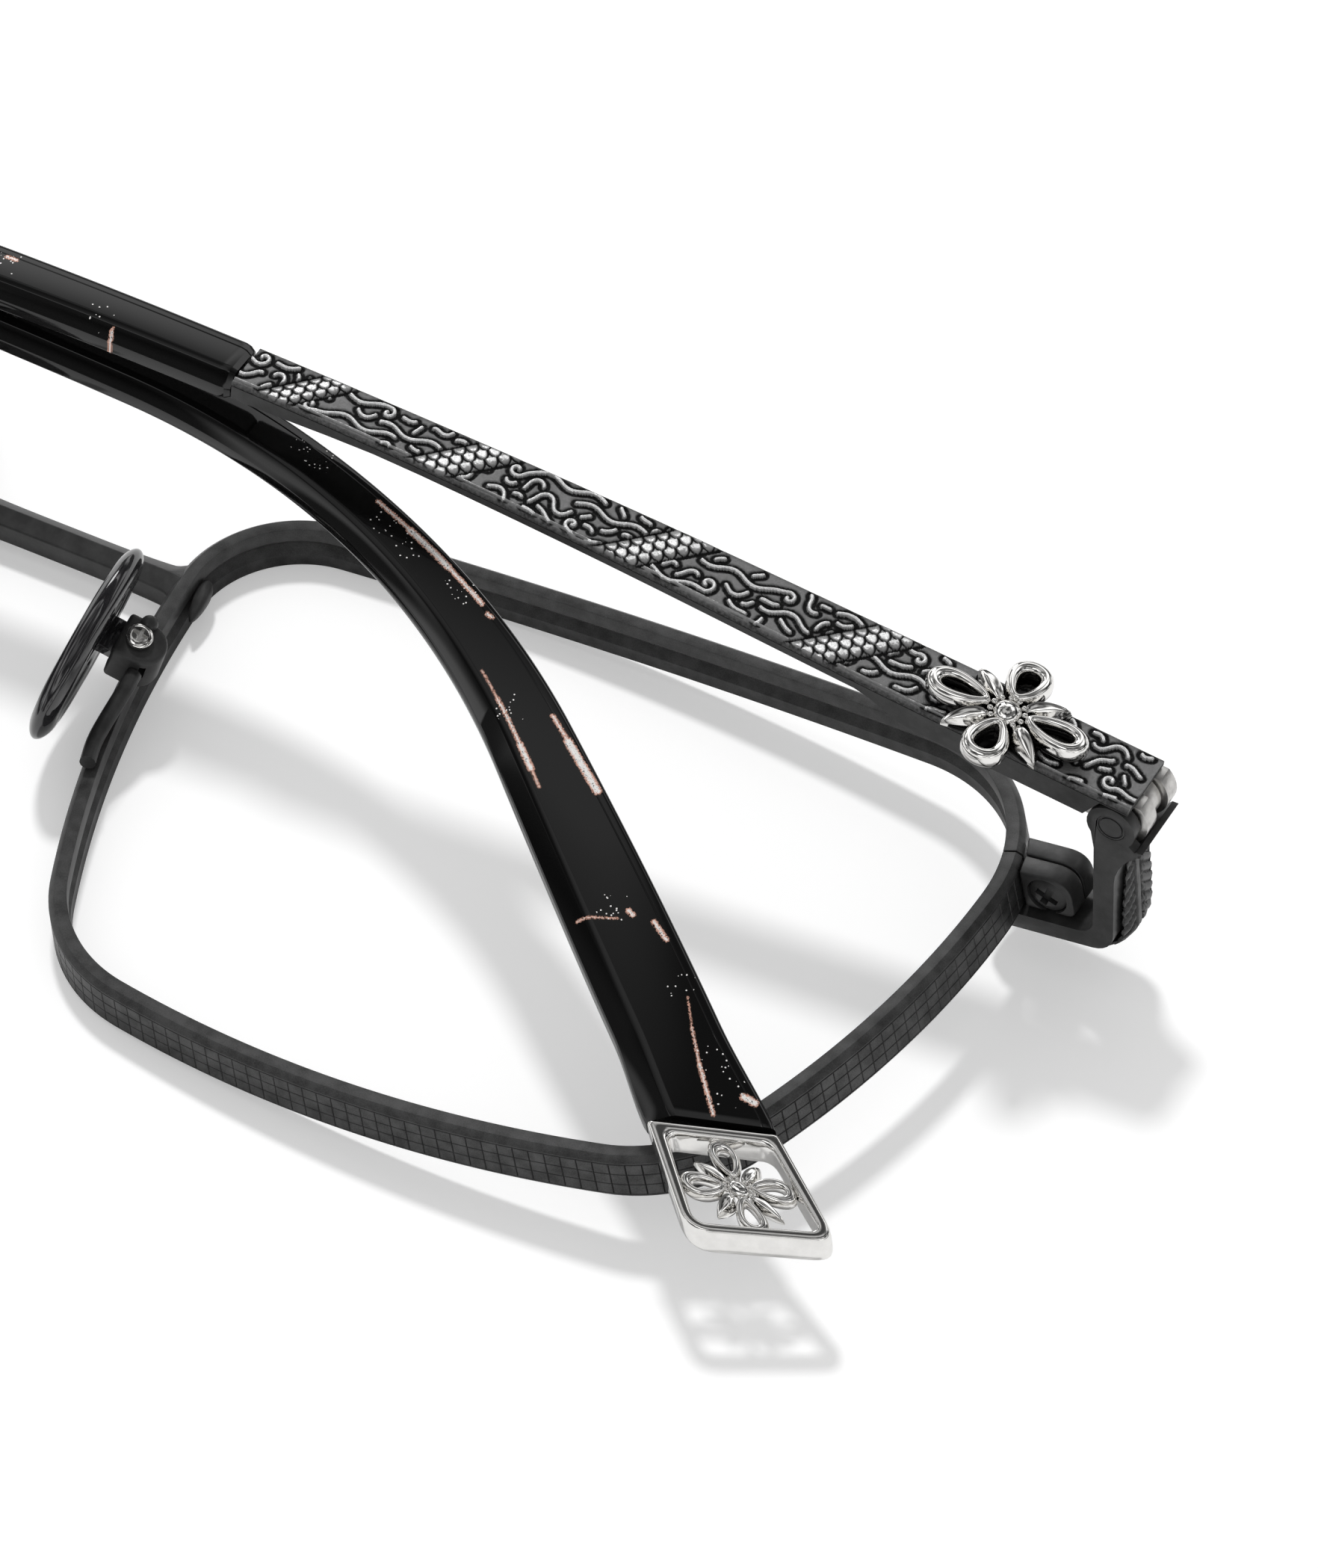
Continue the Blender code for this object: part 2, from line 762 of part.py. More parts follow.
def make_tip(side, tag, parent):
    steps = 34
    start = bar_length + seat_gap
    rings = []
    for i in range(steps + 1):
        share = i / steps
        s = start + (tip_end - start) * share
        shear = joint_shear * blend(share, 0.80, 1.0, 0.0, 1.0)
        section = tip_section(s)
        rings.append([temple_point(s + shear * across, across, drop, side) for across, drop in section])
    add_piece("temple_tip_" + tag, loft(rings), "black acetate", parent)


def cap_point(s, across, drop, side):
    # The cap is flat: its points are placed from the temple's direction at its middle
    middle = tip_end + 0.5 * cap_length
    along, centre, lean, upright = temple_frame(middle)
    slope = (top_height(middle + 0.001) - top_height(middle - 0.001)) / 0.002
    travel = s - middle
    run = travel / math.sqrt(1.0 + slope * slope)
    x = along + upright * run + lean * across
    y = centre - lean * run + upright * across
    return Vector((-side * x, y, top_height(middle) + slope * run - drop))


def rounded_outline(points, corners, steps):
    # A polygon whose corners are rounded by quadratic curves that start the given distance away
    outline = []
    count = len(points)
    for i in range(count):
        here = Vector(points[i])
        before = Vector(points[i - 1]) - here
        after = Vector(points[(i + 1) % count]) - here
        size = corners[i]
        if size == 0.0:
            outline.append(here)
            continue
        start = here + before.normalized() * size
        end = here + after.normalized() * size
        for k in range(steps + 1):
            t = k / steps
            outline.append(start * (1 - t) ** 2 + here * 2 * t * (1 - t) + end * t * t)
    return outline


def cap_outline(margin, corners):
    near_half = 0.5 * tip_width_end - margin
    far_half = near_half + cap_flare
    start = tip_end + seat_gap + margin
    end = tip_end + cap_length - margin
    return rounded_outline([
        (start - joint_shear * near_half, -near_half),
        (end - far_shear * far_half, -far_half),
        (end + far_shear * far_half, far_half),
        (start + joint_shear * near_half, near_half),
    ], corners, 5)


def make_end_cap(side, tag, parent):
    name = "end_cap_" + tag
    outline = cap_outline(0.0, [0.0, cap_corner, cap_corner, 0.0])
    near = [cap_point(s, across, 0.0, side) for s, across in outline]
    far = [cap_point(s, across, cap_thickness, side) for s, across in outline]
    cap = add_piece(name, loft([near, far]), "silver", parent)
    # The window goes right through
    inner = cap_outline(window_margin, [window_corner] * 4)
    near = [cap_point(s, across, -cut_reach, side) for s, across in inner]
    far = [cap_point(s, across, cut_reach, side) for s, across in inner]
    apply_boolean(cap, add_cutter(name + "_window", loft([near, far]), parent), "DIFFERENCE")


def petal_reach(angle):
    # Four round loops on the axes and four pointed leaves between them, as a share of the radius
    wave = math.cos(4.0 * angle)
    if wave > 0.0:
        return rosette_notch + (1.0 - rosette_notch) * wave ** 0.6
    return rosette_notch + leaf_reach * (-wave) ** 2.2


def rosette(length, width, height):
    # An oval ornament with a domed top, lying on z = 0
    count = 48
    rings = []
    for scale, lift in ((0.92, 0.0), (1.0, 0.35), (0.90, 0.75), (0.60, 0.92), (0.25, 1.0)):
        ring = []
        for i in range(count):
            angle = 2.0 * math.pi * i / count
            reach = scale * (1.0 + (petal_reach(angle) - 1.0) * scale)
            ring.append(Vector((0.5 * length * reach * math.cos(angle), 0.5 * width * reach * math.sin(angle),
                                lift * height)))
        rings.append(ring)
    return rings


def loop_cutters(length, width):
    # Oval holes that open the four loops, as pairs of rings below and above the ornament
    cutters = []
    steps = 12
    for i in range(4):
        angle = 0.5 * math.pi * i
        middle = Vector((0.5 * length * math.cos(angle), 0.5 * width * math.sin(angle))) * loop_place
        low = []
        high = []
        for k in range(steps):
            turn = 2.0 * math.pi * k / steps
            x = middle.x + 0.5 * length * loop_hole * math.cos(turn)
            y = middle.y + 0.5 * width * loop_hole * math.sin(turn)
            low.append(Vector((x, y, -cut_reach)))
            high.append(Vector((x, y, cut_reach)))
        cutters.append([low, high])
    return cutters


def make_rosette(name, length, width, height, place, parent):
    # Place turns a point of the flat ornament into one on the temple
    rings = [[place(point) for point in ring] for ring in rosette(length, width, height)]
    piece = add_piece(name, loft(rings), "silver", parent)
    for i, pair in enumerate(loop_cutters(length, width)):
        hole = loft([[place(point) for point in ring] for ring in pair])
        apply_boolean(piece, add_cutter(name + "_loop_" + str(i), hole, parent), "DIFFERENCE")


def make_temple_rosette(side, tag, parent):
    base = top_height(rosette_place) + seat_gap

    def place(point):
        return Vector((-side * (rosette_place + point.x), rosette_shift + point.y, base + point.z))

    make_rosette("temple_rosette_" + tag, rosette_length, rosette_width, rosette_height, place, parent)


def make_cap_rosette(side, tag, parent):
    # Its loops end just short of the window's walls
    length = cap_length - 2.0 * window_margin - 2.0 * seat_gap
    width = tip_width_end + cap_flare - 2.0 * window_margin - 2.0 * seat_gap
    middle = tip_end + 0.5 * (cap_length + seat_gap)
    shear = 0.5 * (joint_shear + far_shear)
    base = cap_rosette_drop + cap_rosette_height

    def place(point):
        return cap_point(middle + point.x + shear * point.y, point.y, base - point.z, side)

    make_rosette("cap_rosette_" + tag, length, width, cap_rosette_height, place, parent)


def pad_axes(side):
    # Long axis towards the brow, short axis towards the back, and the face's direction to the nose
    lean = math.radians(pad_lean)
    splay = math.tan(math.radians(pad_splay))
    tilt = math.tan(math.radians(pad_tilt))
    long = Vector((-side * splay, 1.0, tilt)).normalized()
    face = Vector((-side * math.cos(lean), 0.0, math.sin(lean)))
    face = (face - long * face.dot(long)).normalized()
    short = face.cross(long)
    if short.z < 0.0:
        short = -short
    return long, short, face


def box_centre(side):
    long, short, face = pad_axes(side)
    middle = Vector((side * pad_x, pad_y, pad_z))
    return middle + long * tab_offset - face * (0.5 * pad_thickness + pad_play + 0.5 * box_depth)


def make_pad(side, tag, axis):
    # An oval pad with a tab on its back; its axis is the pad screw
    long, short, face = pad_axes(side)
    centre = Vector((side * pad_x, pad_y, pad_z)) - box_centre(side)
    count = 28
    levels = 7
    rings = []
    for i in range(levels):
        angle = math.pi * (i + 0.5) / levels
        height = -0.5 * pad_thickness * math.cos(angle)
        reach = math.sin(angle) ** 0.55
        ring = []
        for k in range(count):
            spin = 2.0 * math.pi * k / count
            oval = long * (0.5 * pad_length * reach * math.cos(spin))
            oval += short * (0.5 * pad_width * reach * math.sin(spin) * (1.0 - 0.12 * math.cos(spin)))
            ring.append(centre + oval + face * height)
        rings.append(ring)
    pad = add_piece("nose_pad_" + tag, loft(rings), "dark pad", axis)
    half = 0.5 * tab_width
    reach = 0.5 * tab_length
    rings = []
    for level in (-tab_root, box_depth):
        ring = []
        for a, b in ((-reach, -half), (reach, -half), (reach, half), (-reach, half)):
            ring.append(long * a + short * b + face * level)
        rings.append(ring)
    tab = add_cutter("nose_pad_tab_" + tag, loft(rings), axis)
    apply_boolean(pad, tab, "UNION")
    hole = bore_body(pad_screw_radius, (0, 0, 0), short)
    apply_boolean(pad, add_cutter("nose_pad_bore_" + tag, hole, axis), "DIFFERENCE")


def make_pad_box(side, tag, parent):
    # A cup with a rounded back, slotted along its length, that holds the pad's tab
    long, short, face = pad_axes(side)
    centre = box_centre(side)
    inner = 0.5 * tab_width + slit_gap
    outer = inner + box_wall
    reach = 0.5 * tab_length + box_margin
    front = 0.5 * box_depth
    floor = -tab_root - slit_gap - box_floor
    outline = [(-reach, front)]
    steps = 12
    for i in range(steps + 1):
        angle = math.pi * i / steps
        outline.append((-reach * math.cos(angle), (floor - box_wall) * math.sin(angle)))
    outline.append((reach, front))
    rings = []
    for b in (-outer, outer):
        rings.append([centre + long * a + short * b + face * d for a, d in outline])
    box = add_piece("pad_box_" + tag, loft(rings), "satin black", parent)
    slot = [(-inner, floor), (inner, floor), (inner, cut_reach), (-inner, cut_reach)]
    rings = []
    for a in (-cut_reach, cut_reach):
        rings.append([centre + long * a + short * b + face * d for b, d in slot])
    apply_boolean(box, add_cutter("pad_box_slot_" + tag, loft(rings), parent), "DIFFERENCE")
    hole = bore_body(pad_screw_radius, centre, short)
    apply_boolean(box, add_cutter("pad_box_bore_" + tag, hole, parent), "DIFFERENCE")
    profile = [
        (-outer, pad_screw_radius),
        (outer + slit_gap, pad_screw_radius),
        (outer + slit_gap, pad_screw_head_radius),
        (outer + slit_gap + 0.6 * pad_screw_head_height, pad_screw_head_radius),
        (outer + slit_gap + pad_screw_head_height, 0.75 * pad_screw_head_radius),
    ]
    add_piece("pad_screw_" + tag, turned(profile, centre, short, 18), "silver", parent)


def nose_wall_x(y):
    # The middle of the rim wire on the nose side at height y, read along the outline
    outline = [point for point, out in rim_outline() if point.x < rim_centre_x + chin_nose_x]
    for above, below in zip(outline, outline[1:]):
        if above.y >= y >= below.y:
            share = (above.y - y) / (above.y - below.y)
            return above.x + (below.x - above.x) * share + 0.5 * rim_wall
    return nose_edge_x() + 0.5 * rim_wall


def make_pad_arm(side, tag, parent):
    # A round wire welded along the rim's back, then up to the chin end of the pad box
    long, short, face = pad_axes(side)
    box_end = 0.5 * tab_length + box_margin + seat_gap
    end = box_centre(side) - long * box_end - face * 0.3 * box_depth
    height = rim_depth + arm_radius + seat_gap
    weld_end_y = arm_weld_y + arm_weld_length
    guide = [
        Vector((side * nose_wall_x(arm_weld_y), arm_weld_y, height)),
        Vector((side * nose_wall_x(weld_end_y), weld_end_y, height)),
        end - long * arm_lead,
        end,
    ]
    route = smooth_route(guide, 5)
    rings = []
    sides = 12
    for i, point in enumerate(route):
        ahead = route[min(i + 1, len(route) - 1)] - route[max(i - 1, 0)]
        ahead.normalize()
        first = ahead.cross(Vector((0.0, 0.0, 1.0))).normalized()
        second = ahead.cross(first)
        ring = []
        for k in range(sides):
            angle = 2.0 * math.pi * k / sides
            ring.append(point + (first * math.cos(angle) + second * math.sin(angle)) * arm_radius)
        rings.append(ring)
    add_piece("pad_arm_" + tag, loft(rings), "satin black", parent)


def smooth_route(guide, steps):
    # A Catmull-Rom curve through the guide points
    points = [guide[0]] + list(guide) + [guide[-1]]
    route = []
    for i in range(1, len(points) - 2):
        a, b, c, d = points[i - 1], points[i], points[i + 1], points[i + 2]
        for k in range(steps):
            t = k / steps
            route.append(0.5 * (2 * b + (c - a) * t + (2 * a - 5 * b + 4 * c - d) * t * t
                                + (3 * b - a - 3 * c + d) * t ** 3))
    route.append(guide[-1])
    return route


def build():
    clear_scene()
    front = add_axis("front_datum", (0.0, datum_y, 0.0), (0.0, 0.0, 0.0), None)
    make_bridge(front)
    for side, tag, lift in ((1, "right", right_lift), (-1, "left", left_lift)):
        make_rim(side, "rim_" + tag, front)
        make_lock(side, tag, front)
        make_end_piece(side, tag, front)
        make_cover(side, tag, front)
        make_fixed_knuckle(side, tag, front)
        make_pin(side, tag, front)
        make_pad_box(side, tag, front)
        make_pad_arm(side, tag, front)
        pad_axis = add_axis("pad_axis_" + tag, box_centre(side), (0.0, 0.0, 0.0), front)
        make_pad(side, tag, pad_axis)
        temple = add_axis("temple_axis_" + tag, (side * hinge_x, hinge_y, hinge_z),
                          (0.0, side * math.radians(lift), 0.0), front)
        make_temple_bar(side, tag, temple)
        make_hinge_leaf(side, tag, temple)
        make_temple_rosette(side, tag, temple)
        make_tip(side, tag, temple)
        make_end_cap(side, tag, temple)
        make_cap_rosette(side, tag, temple)


build()
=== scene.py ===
import json
import math
import random

import bmesh
import bpy
import numpy as np
from mathutils import Matrix, Vector, kdtree


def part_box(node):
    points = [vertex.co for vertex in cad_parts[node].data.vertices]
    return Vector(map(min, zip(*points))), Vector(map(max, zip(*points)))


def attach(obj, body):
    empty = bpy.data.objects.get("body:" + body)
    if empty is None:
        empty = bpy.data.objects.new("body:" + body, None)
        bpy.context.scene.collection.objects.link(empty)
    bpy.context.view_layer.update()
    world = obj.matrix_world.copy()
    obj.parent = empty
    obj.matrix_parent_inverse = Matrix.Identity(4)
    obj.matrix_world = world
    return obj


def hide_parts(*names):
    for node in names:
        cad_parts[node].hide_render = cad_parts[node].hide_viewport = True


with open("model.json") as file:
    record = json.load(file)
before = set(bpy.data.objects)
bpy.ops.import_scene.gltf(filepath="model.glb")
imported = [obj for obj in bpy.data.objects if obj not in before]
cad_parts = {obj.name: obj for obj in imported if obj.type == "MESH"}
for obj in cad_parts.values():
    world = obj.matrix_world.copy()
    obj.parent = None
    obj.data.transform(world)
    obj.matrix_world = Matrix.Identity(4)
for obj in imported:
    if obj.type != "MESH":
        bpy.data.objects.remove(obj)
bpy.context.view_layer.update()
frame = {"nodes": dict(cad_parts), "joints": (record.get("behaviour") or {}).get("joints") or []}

mm = 0.001
turnOnce = 2.0 * math.pi
datumY = 6.55  # mm from the origin to the front's own zero
sides = ((1, "right", 7.4), (-1, "left", 4.6))  # sign, name, and the folded temple's lift in degrees
hinges = {joint["child"]: Vector(joint["pos_m"]) for joint in frame["joints"]}
white = (1.0, 1.0, 1.0, 1.0)


# Camera, light and floor
cameraLook = {
    "place": (0.19021, -0.22919, 0.30507),
    "axes": ((0.8672, 0.4967, -0.0356), (-0.3426, 0.6471, 0.6811), (0.3614, -0.5785, 0.7313)),  # right, up, back
    "focalPixels": 9812.9, "imageHeight": 2098, "sensor": 36.0, "clip": (0.01, 20.0),
}
lightLook = {
    "keyToward": (-0.26, 0.454, 1.0),  # shadows fall the opposite way, this far for each unit of height
    "keyDistance": 1.0, "keySize": 0.13, "keyPower": 5.6, "worldLevel": 0.56,
    # what gloss sees of the studio: (sine of the height above the floor, brightness)
    "sheen": ((0.0, 1.25), (0.26, 1.0), (0.36, 0.10), (0.50, 0.10), (0.58, 1.45), (0.80, 1.25), (0.87, 0.10),
              (0.94, 0.5)),
    "clutter": 2.2, "clutterRange": (0.46, 0.56), "clutterDark": 0.10,  # dark shapes that stand about in it
    "spotToward": (-0.62, 0.66, 0.42), "spotWidth": 0.12, "spotLevel": 6.0,
}
floorLook = {"size": 1.2, "sink": 0.00002, "colour": 0.93, "cameraColour": 0.74, "cameraGlow": 0.335,
             "roughness": 0.6, "specular": 0.15}


def nodeMaker(owner):
    # make adds a node: an entry given as (node, output) is linked, and any other is set
    owner.use_nodes = True
    tree = owner.node_tree
    tree.nodes.clear()

    def make(kind, entries=None, **settings):
        made = tree.nodes.new("ShaderNode" + kind)
        for key, value in settings.items():
            setattr(made, key, value)
        for entry, value in (entries or {}).items():
            if isinstance(value, tuple) and isinstance(value[0], bpy.types.Node):
                tree.links.new(value[0].outputs[value[1]], made.inputs[entry])
            else:
                made.inputs[entry].default_value = value
        return made

    return make


def grey(value):
    return (value, value, value)


def rampOf(make, source, *stops):
    # a stop is its place with a grey level or a colour
    ramp = make("ValToRGB", {"Fac": source})
    elements = ramp.color_ramp.elements
    for i, (position, colour) in enumerate(stops):
        element = elements[i] if i < 2 else elements.new(position)
        element.position = position
        element.color = (grey(colour) if isinstance(colour, float) else colour) + (1,)
    return ramp, "Color"


def toMesh(bm, mesh, sharpAngle=None, smooth=True):
    # mesh is the one to fill, or the name of a new one
    if isinstance(mesh, str):
        mesh = bpy.data.meshes.new(mesh)
    bm.to_mesh(mesh)
    bm.free()
    if smooth:
        mesh.shade_smooth()
    if sharpAngle:
        mesh.set_sharp_from_angle(angle=math.radians(sharpAngle))
    return mesh


def addObject(name, data):
    made = bpy.data.objects.new(name, data)
    bpy.context.scene.collection.objects.link(made)
    return made


def addCamera():
    look = cameraLook
    data = bpy.data.cameras.new("photoCamera")
    camera = addObject("photoCamera", data)
    camera.matrix_world = Matrix.Translation(look["place"]) @ Matrix(look["axes"]).transposed().to_4x4()
    data.sensor_width = look["sensor"]
    data.lens = look["focalPixels"] * look["sensor"] / look["imageHeight"]
    data.clip_start, data.clip_end = look["clip"]
    bpy.context.scene.camera = camera


def addLamp():
    look = lightLook
    data = bpy.data.lights.new("keyLamp", "AREA")
    data.shape = "DISK"
    data.size = look["keySize"]
    data.energy = look["keyPower"]
    lamp = addObject("keyLamp", data)
    lamp.visible_glossy = False  # gloss shows the studio in the world instead
    direction = Vector(look["keyToward"]).normalized()
    lamp.location = direction * look["keyDistance"]
    lamp.rotation_mode = "QUATERNION"
    lamp.rotation_quaternion = direction.to_track_quat("Z", "Y")


def addWorld():
    look = lightLook
    world = bpy.data.worlds.new("studio")
    bpy.context.scene.world = world
    make = nodeMaker(world)
    place = make("TexCoord"), "Generated"
    height = make("SeparateXYZ", {"Vector": place}), "Z"
    clutter = make("TexNoise", {"Vector": place, "Scale": look["clutter"], "Detail": 1.0}), "Fac"
    low, high = look["clutterRange"]
    mixed = make("Mix", {"Factor": 1.0, "A": rampOf(make, height, *look["sheen"]),
                         "B": rampOf(make, clutter, (low, look["clutterDark"]), (high, 1.0))},
                 data_type="RGBA", blend_type="MULTIPLY")
    away = make("VectorMath", {0: place, 1: Vector(look["spotToward"]).normalized()}, operation="DISTANCE")
    near = make("Math", {0: (away, "Value"), 1: look["spotWidth"]}, operation="LESS_THAN")
    lit = make("Mix", {"Factor": (near, "Value"), "A": (mixed, "Result"), "B": grey(look["spotLevel"]) + (1,)},
               data_type="RGBA")
    sheen = make("Background", {"Color": (lit, "Result")})
    plain = make("Background", {"Color": white, "Strength": look["worldLevel"]})
    backdrop = make("Background", {"Color": white, "Strength": 1.0})
    path = make("LightPath")
    forGloss = make("MixShader", {"Fac": (path, "Is Glossy Ray"), 1: (plain, "Background"),
                                  2: (sheen, "Background")})
    forCamera = make("MixShader", {"Fac": (path, "Is Camera Ray"), 1: (forGloss, "Shader"),
                                   2: (backdrop, "Background")})
    make("OutputWorld", {"Surface": (forCamera, "Shader")})


def addFloor():
    look = floorLook
    bm = bmesh.new()
    bmesh.ops.create_grid(bm, x_segments=4, y_segments=4, size=look["size"])
    floor = addObject("floor", toMesh(bm, "floor", smooth=False))
    floor.location.z = -look["sink"]
    material = bpy.data.materials.new("paleFloor")
    make = nodeMaker(material)
    plain, seen = [make("BsdfPrincipled", {"Base Color": grey(look[key]) + (1,), "Roughness": look["roughness"],
                                           "Specular IOR Level": look["specular"]})
                   for key in ("colour", "cameraColour")]
    glow = make("Emission", {"Color": white, "Strength": look["cameraGlow"]})
    lit = make("AddShader", {0: (seen, "BSDF"), 1: (glow, "Emission")})
    both = make("MixShader", {"Fac": (make("LightPath"), "Is Camera Ray"), 1: (plain, "BSDF"), 2: (lit, "Shader")})
    make("OutputMaterial", {"Surface": (both, "Shader")})
    floor.data.materials.append(material)


addCamera()
addWorld()
addLamp()
addFloor()
bpy.context.scene.view_settings.view_transform = "Standard"
print("camera, lamp and floor are in place")


# Finishes: each function returns what goes into the shader's entries
def newFinish(name, entriesOf, *values):
    material = bpy.data.materials.new(name)
    make = nodeMaker(material)
    shader = make("BsdfPrincipled", entriesOf(make, *values))
    make("OutputMaterial", {"Surface": (shader, "BSDF")})
    return material


def grain(make, scale, detail=3.0):
    place = make("TexCoord"), "Object"
    return make("TexNoise", {"Vector": place, "Scale": scale, "Detail": detail, "Roughness": 0.6}), "Fac"


def rangeOf(make, source, low, high):
    return make("MapRange", {"Value": source, "To Min": low, "To Max": high}), "Result"


def bumpOf(make, source, strength, distance):
    return make("Bump", {"Height": source, "Strength": strength, "Distance": distance * mm}), "Normal"


def attributeOf(make, name):
    return make("Attribute", attribute_name=name), "Fac"


def mathStep(make, operation, *values, clamp=False):
    return make("Math", dict(enumerate(values)), operation=operation, use_clamp=clamp), "Value"


satinLook = {"dark": 0.023, "light": 0.042, "smooth": 0.30, "rough": 0.44, "specular": 0.38, "patches": 900.0,
             "grain": 9000.0}


def satinBlack(make):
    look = satinLook
    fine = grain(make, look["grain"], 2.0)
    return {
        "Base Color": rampOf(make, grain(make, look["patches"]), (0.35, look["dark"]), (0.70, look["light"])),
        "Roughness": rangeOf(make, fine, look["smooth"], look["rough"]),
        "Specular IOR Level": look["specular"], "Normal": bumpOf(make, fine, 0.25, 0.012),
    }


# groove is the near-black painted shade in the engraved grooves
engravedLook = {"groove": 0.003, "tile": 0.085, "plain": 0.052, "tileMetal": 0.55, "streaks": 14000.0,
                "patches": 1100.0, "smooth": 0.32, "rough": 0.52}


def engravedBlack(make):
    # the carve attribute is 0 in a groove, a half on a brushed tile and 1 on the plain satin wire; the groove's
    # near-black colour is painted shade
    look = engravedLook
    carve = attributeOf(make, "carve")
    streaks = grain(make, look["streaks"], 2.0)
    # brush marks, and a slower change from tile to tile that paints the polished facets' differing reflections
    both = mathStep(make, "ADD", streaks, grain(make, look["patches"], 1.0))
    shade = rampOf(make, mathStep(make, "MULTIPLY", both, 0.5), (0.36, 0.35), (0.62, 1.0))
    colour = rampOf(make, carve, (0.05, look["groove"]), (0.50, look["tile"]), (0.95, look["plain"]))
    mixed = make("Mix", {"Factor": 1.0, "A": colour, "B": shade}, data_type="RGBA", blend_type="MULTIPLY")
    return {
        "Base Color": (mixed, "Result"),
        "Metallic": rampOf(make, carve, (0.20, 0.0), (0.50, look["tileMetal"]), (0.80, 0.0)),
        "Roughness": rangeOf(make, streaks, look["smooth"], look["rough"]),
        "Specular IOR Level": 0.38, "Normal": bumpOf(make, streaks, 0.25, 0.008),
    }


# moat is painted shade beside the raised lines, crest a painted highlight on them
carvedLook = {"moat": 0.003, "ground": 0.24, "slope": 0.36, "crest": 0.98, "metal": 0.72, "wear": 5200.0,
              "wearShare": 0.36, "stipple": 9000.0}


def carvedMetal(make):
    # the carve attribute runs from 0 in a dark outline of painted shade, over 0.4 on the stippled ground, to 1 on
    # a crest with a painted highlight; wear noise shifts it a little
    look = carvedLook
    carve = attributeOf(make, "carve")
    wearAndPaintedLight = mathStep(make, "MULTIPLY_ADD", grain(make, look["wear"], 4.0), look["wearShare"], carve)
    return {
        "Base Color": rampOf(make, wearAndPaintedLight, (0.22, look["moat"]), (0.56, look["ground"]), (0.94, look["slope"]),
                             (1.0, look["crest"])),
        "Metallic": look["metal"], "Roughness": rampOf(make, carve, (0.3, 0.56), (0.95, 0.22)),
        "Normal": bumpOf(make, grain(make, look["stipple"], 2.0), 0.9, 0.04),
    }


# hollow is painted shade on the ornament's low parts and flutes, crest a painted highlight on its tops
agedLook = {"hollow": 0.010, "slope": (0.30, 0.29, 0.28), "crest": (0.90, 0.89, 0.87), "smudge": 1200.0,
            "smudgeShare": 0.12}


def agedSilver(make):
    look = agedLook
    smudge = grain(make, look["smudge"])
    wearAndPaintedLight = mathStep(make, "MULTIPLY_ADD", smudge, look["smudgeShare"], attributeOf(make, "carve"))
    colour = rampOf(make, wearAndPaintedLight, (0.10, look["hollow"]), (0.42, look["slope"]), (0.62, look["crest"]))
    return {"Base Color": colour, "Metallic": 1.0, "Roughness": rangeOf(make, smudge, 0.05, 0.15)}


def brightMetal(make, dark, light, smooth, rough, scale):
    marks = grain(make, scale, 4.0)
    colour = rampOf(make, marks, (0.30, dark), (0.70, light))
    return {"Base Color": colour, "Metallic": 1.0, "Roughness": rangeOf(make, marks, smooth, rough)}


def darkPad(make):
    colour = rampOf(make, grain(make, 700.0), (0.3, (0.010, 0.010, 0.011)), (0.8, (0.022, 0.021, 0.023)))
    return {"Base Color": colour, "Roughness": 0.06, "Specular IOR Level": 0.9}


foilLook = {
    "silver": (0.95, 0.93, 0.91), "copper": (0.74, 0.40, 0.30), "black": 0.004, "metal": 0.30,
    "ragged": 0.75, "ragScale": 7.5, "pits": 0.42,  # the noise that moves a patch's edge, and eats holes in it
    "edge": (-40.0, 0.5), "core": (-14.0, -0.6),  # how fast the foil and its silver middle fade in
    "crumbs": 5.0, "crumbSize": 0.24, "crumbEmpty": 0.60, "speckSpread": 1.0,
    "smooth": 0.06, "rough": 0.42,
    "left": (  # start and end as (along, aside) in mm, then half the width
        (92.8, 0.95, 95.4, 1.05, 0.14), (95.4, 1.05, 98.6, 1.25, 0.22), (98.6, 1.25, 101.6, 1.45, 0.15),
        # the four patches from 105.4 to 113.4 along, just beside the ridge, are a painted highlight streak, not
        # foil
        (102.3, 1.35, 102.6, 1.45, 0.14), (105.4, -0.72, 107.4, -0.76, 0.06), (107.4, -0.76, 110.6, -0.80, 0.12),
        (110.6, -0.80, 112.2, -0.82, 0.19), (112.2, -0.82, 113.4, -0.84, 0.08), (109.6, 1.55, 111.4, 1.70, 0.13),
        (111.4, 1.70, 114.8, 1.98, 0.25), (121.4, -2.0, 121.9, -0.9, 0.07), (121.9, -0.9, 122.3, 0.0, 0.05),
        (122.1, 0.75, 122.4, 0.85, 0.16), (123.2, 1.75, 124.4, 1.95, 0.15), (127.9, 1.7, 129.6, 1.2, 0.04),
        (129.6, 1.2, 131.6, 0.75, 0.08), (131.6, 0.75, 134.5, 0.3, 0.12), (134.2, 2.2, 134.7, 2.6, 0.22)),
    "leftSpecks": ((87.0, 1.1), (88.5, 0.7), (94.2, 0.35), (96.4, 0.5), (100.2, 0.9), (108.2, -0.3),
                   (121.6, 0.1), (127.2, 1.8), (131.8, 1.3), (133.6, 1.6)),
    "right": ((71.9, 0.8, 72.5, 0.8, 0.14), (64.0, -1.9, 64.2, -1.2, 0.14), (84.0, 1.0, 87.5, 1.1, 0.12),
              (93.0, -0.8, 97.2, -0.9, 0.10), (104.5, 1.3, 108.6, 1.6, 0.20), (116.2, -1.9, 117.0, -0.4, 0.06),
              (126.4, -0.6, 131.0, 0.9, 0.11)),
    "rightSpecks": ((65.4, -0.5), (72.2, 0.4), (90.0, 0.4), (102.6, 0.8), (117.6, 0.6), (128.0, 1.6)),
}


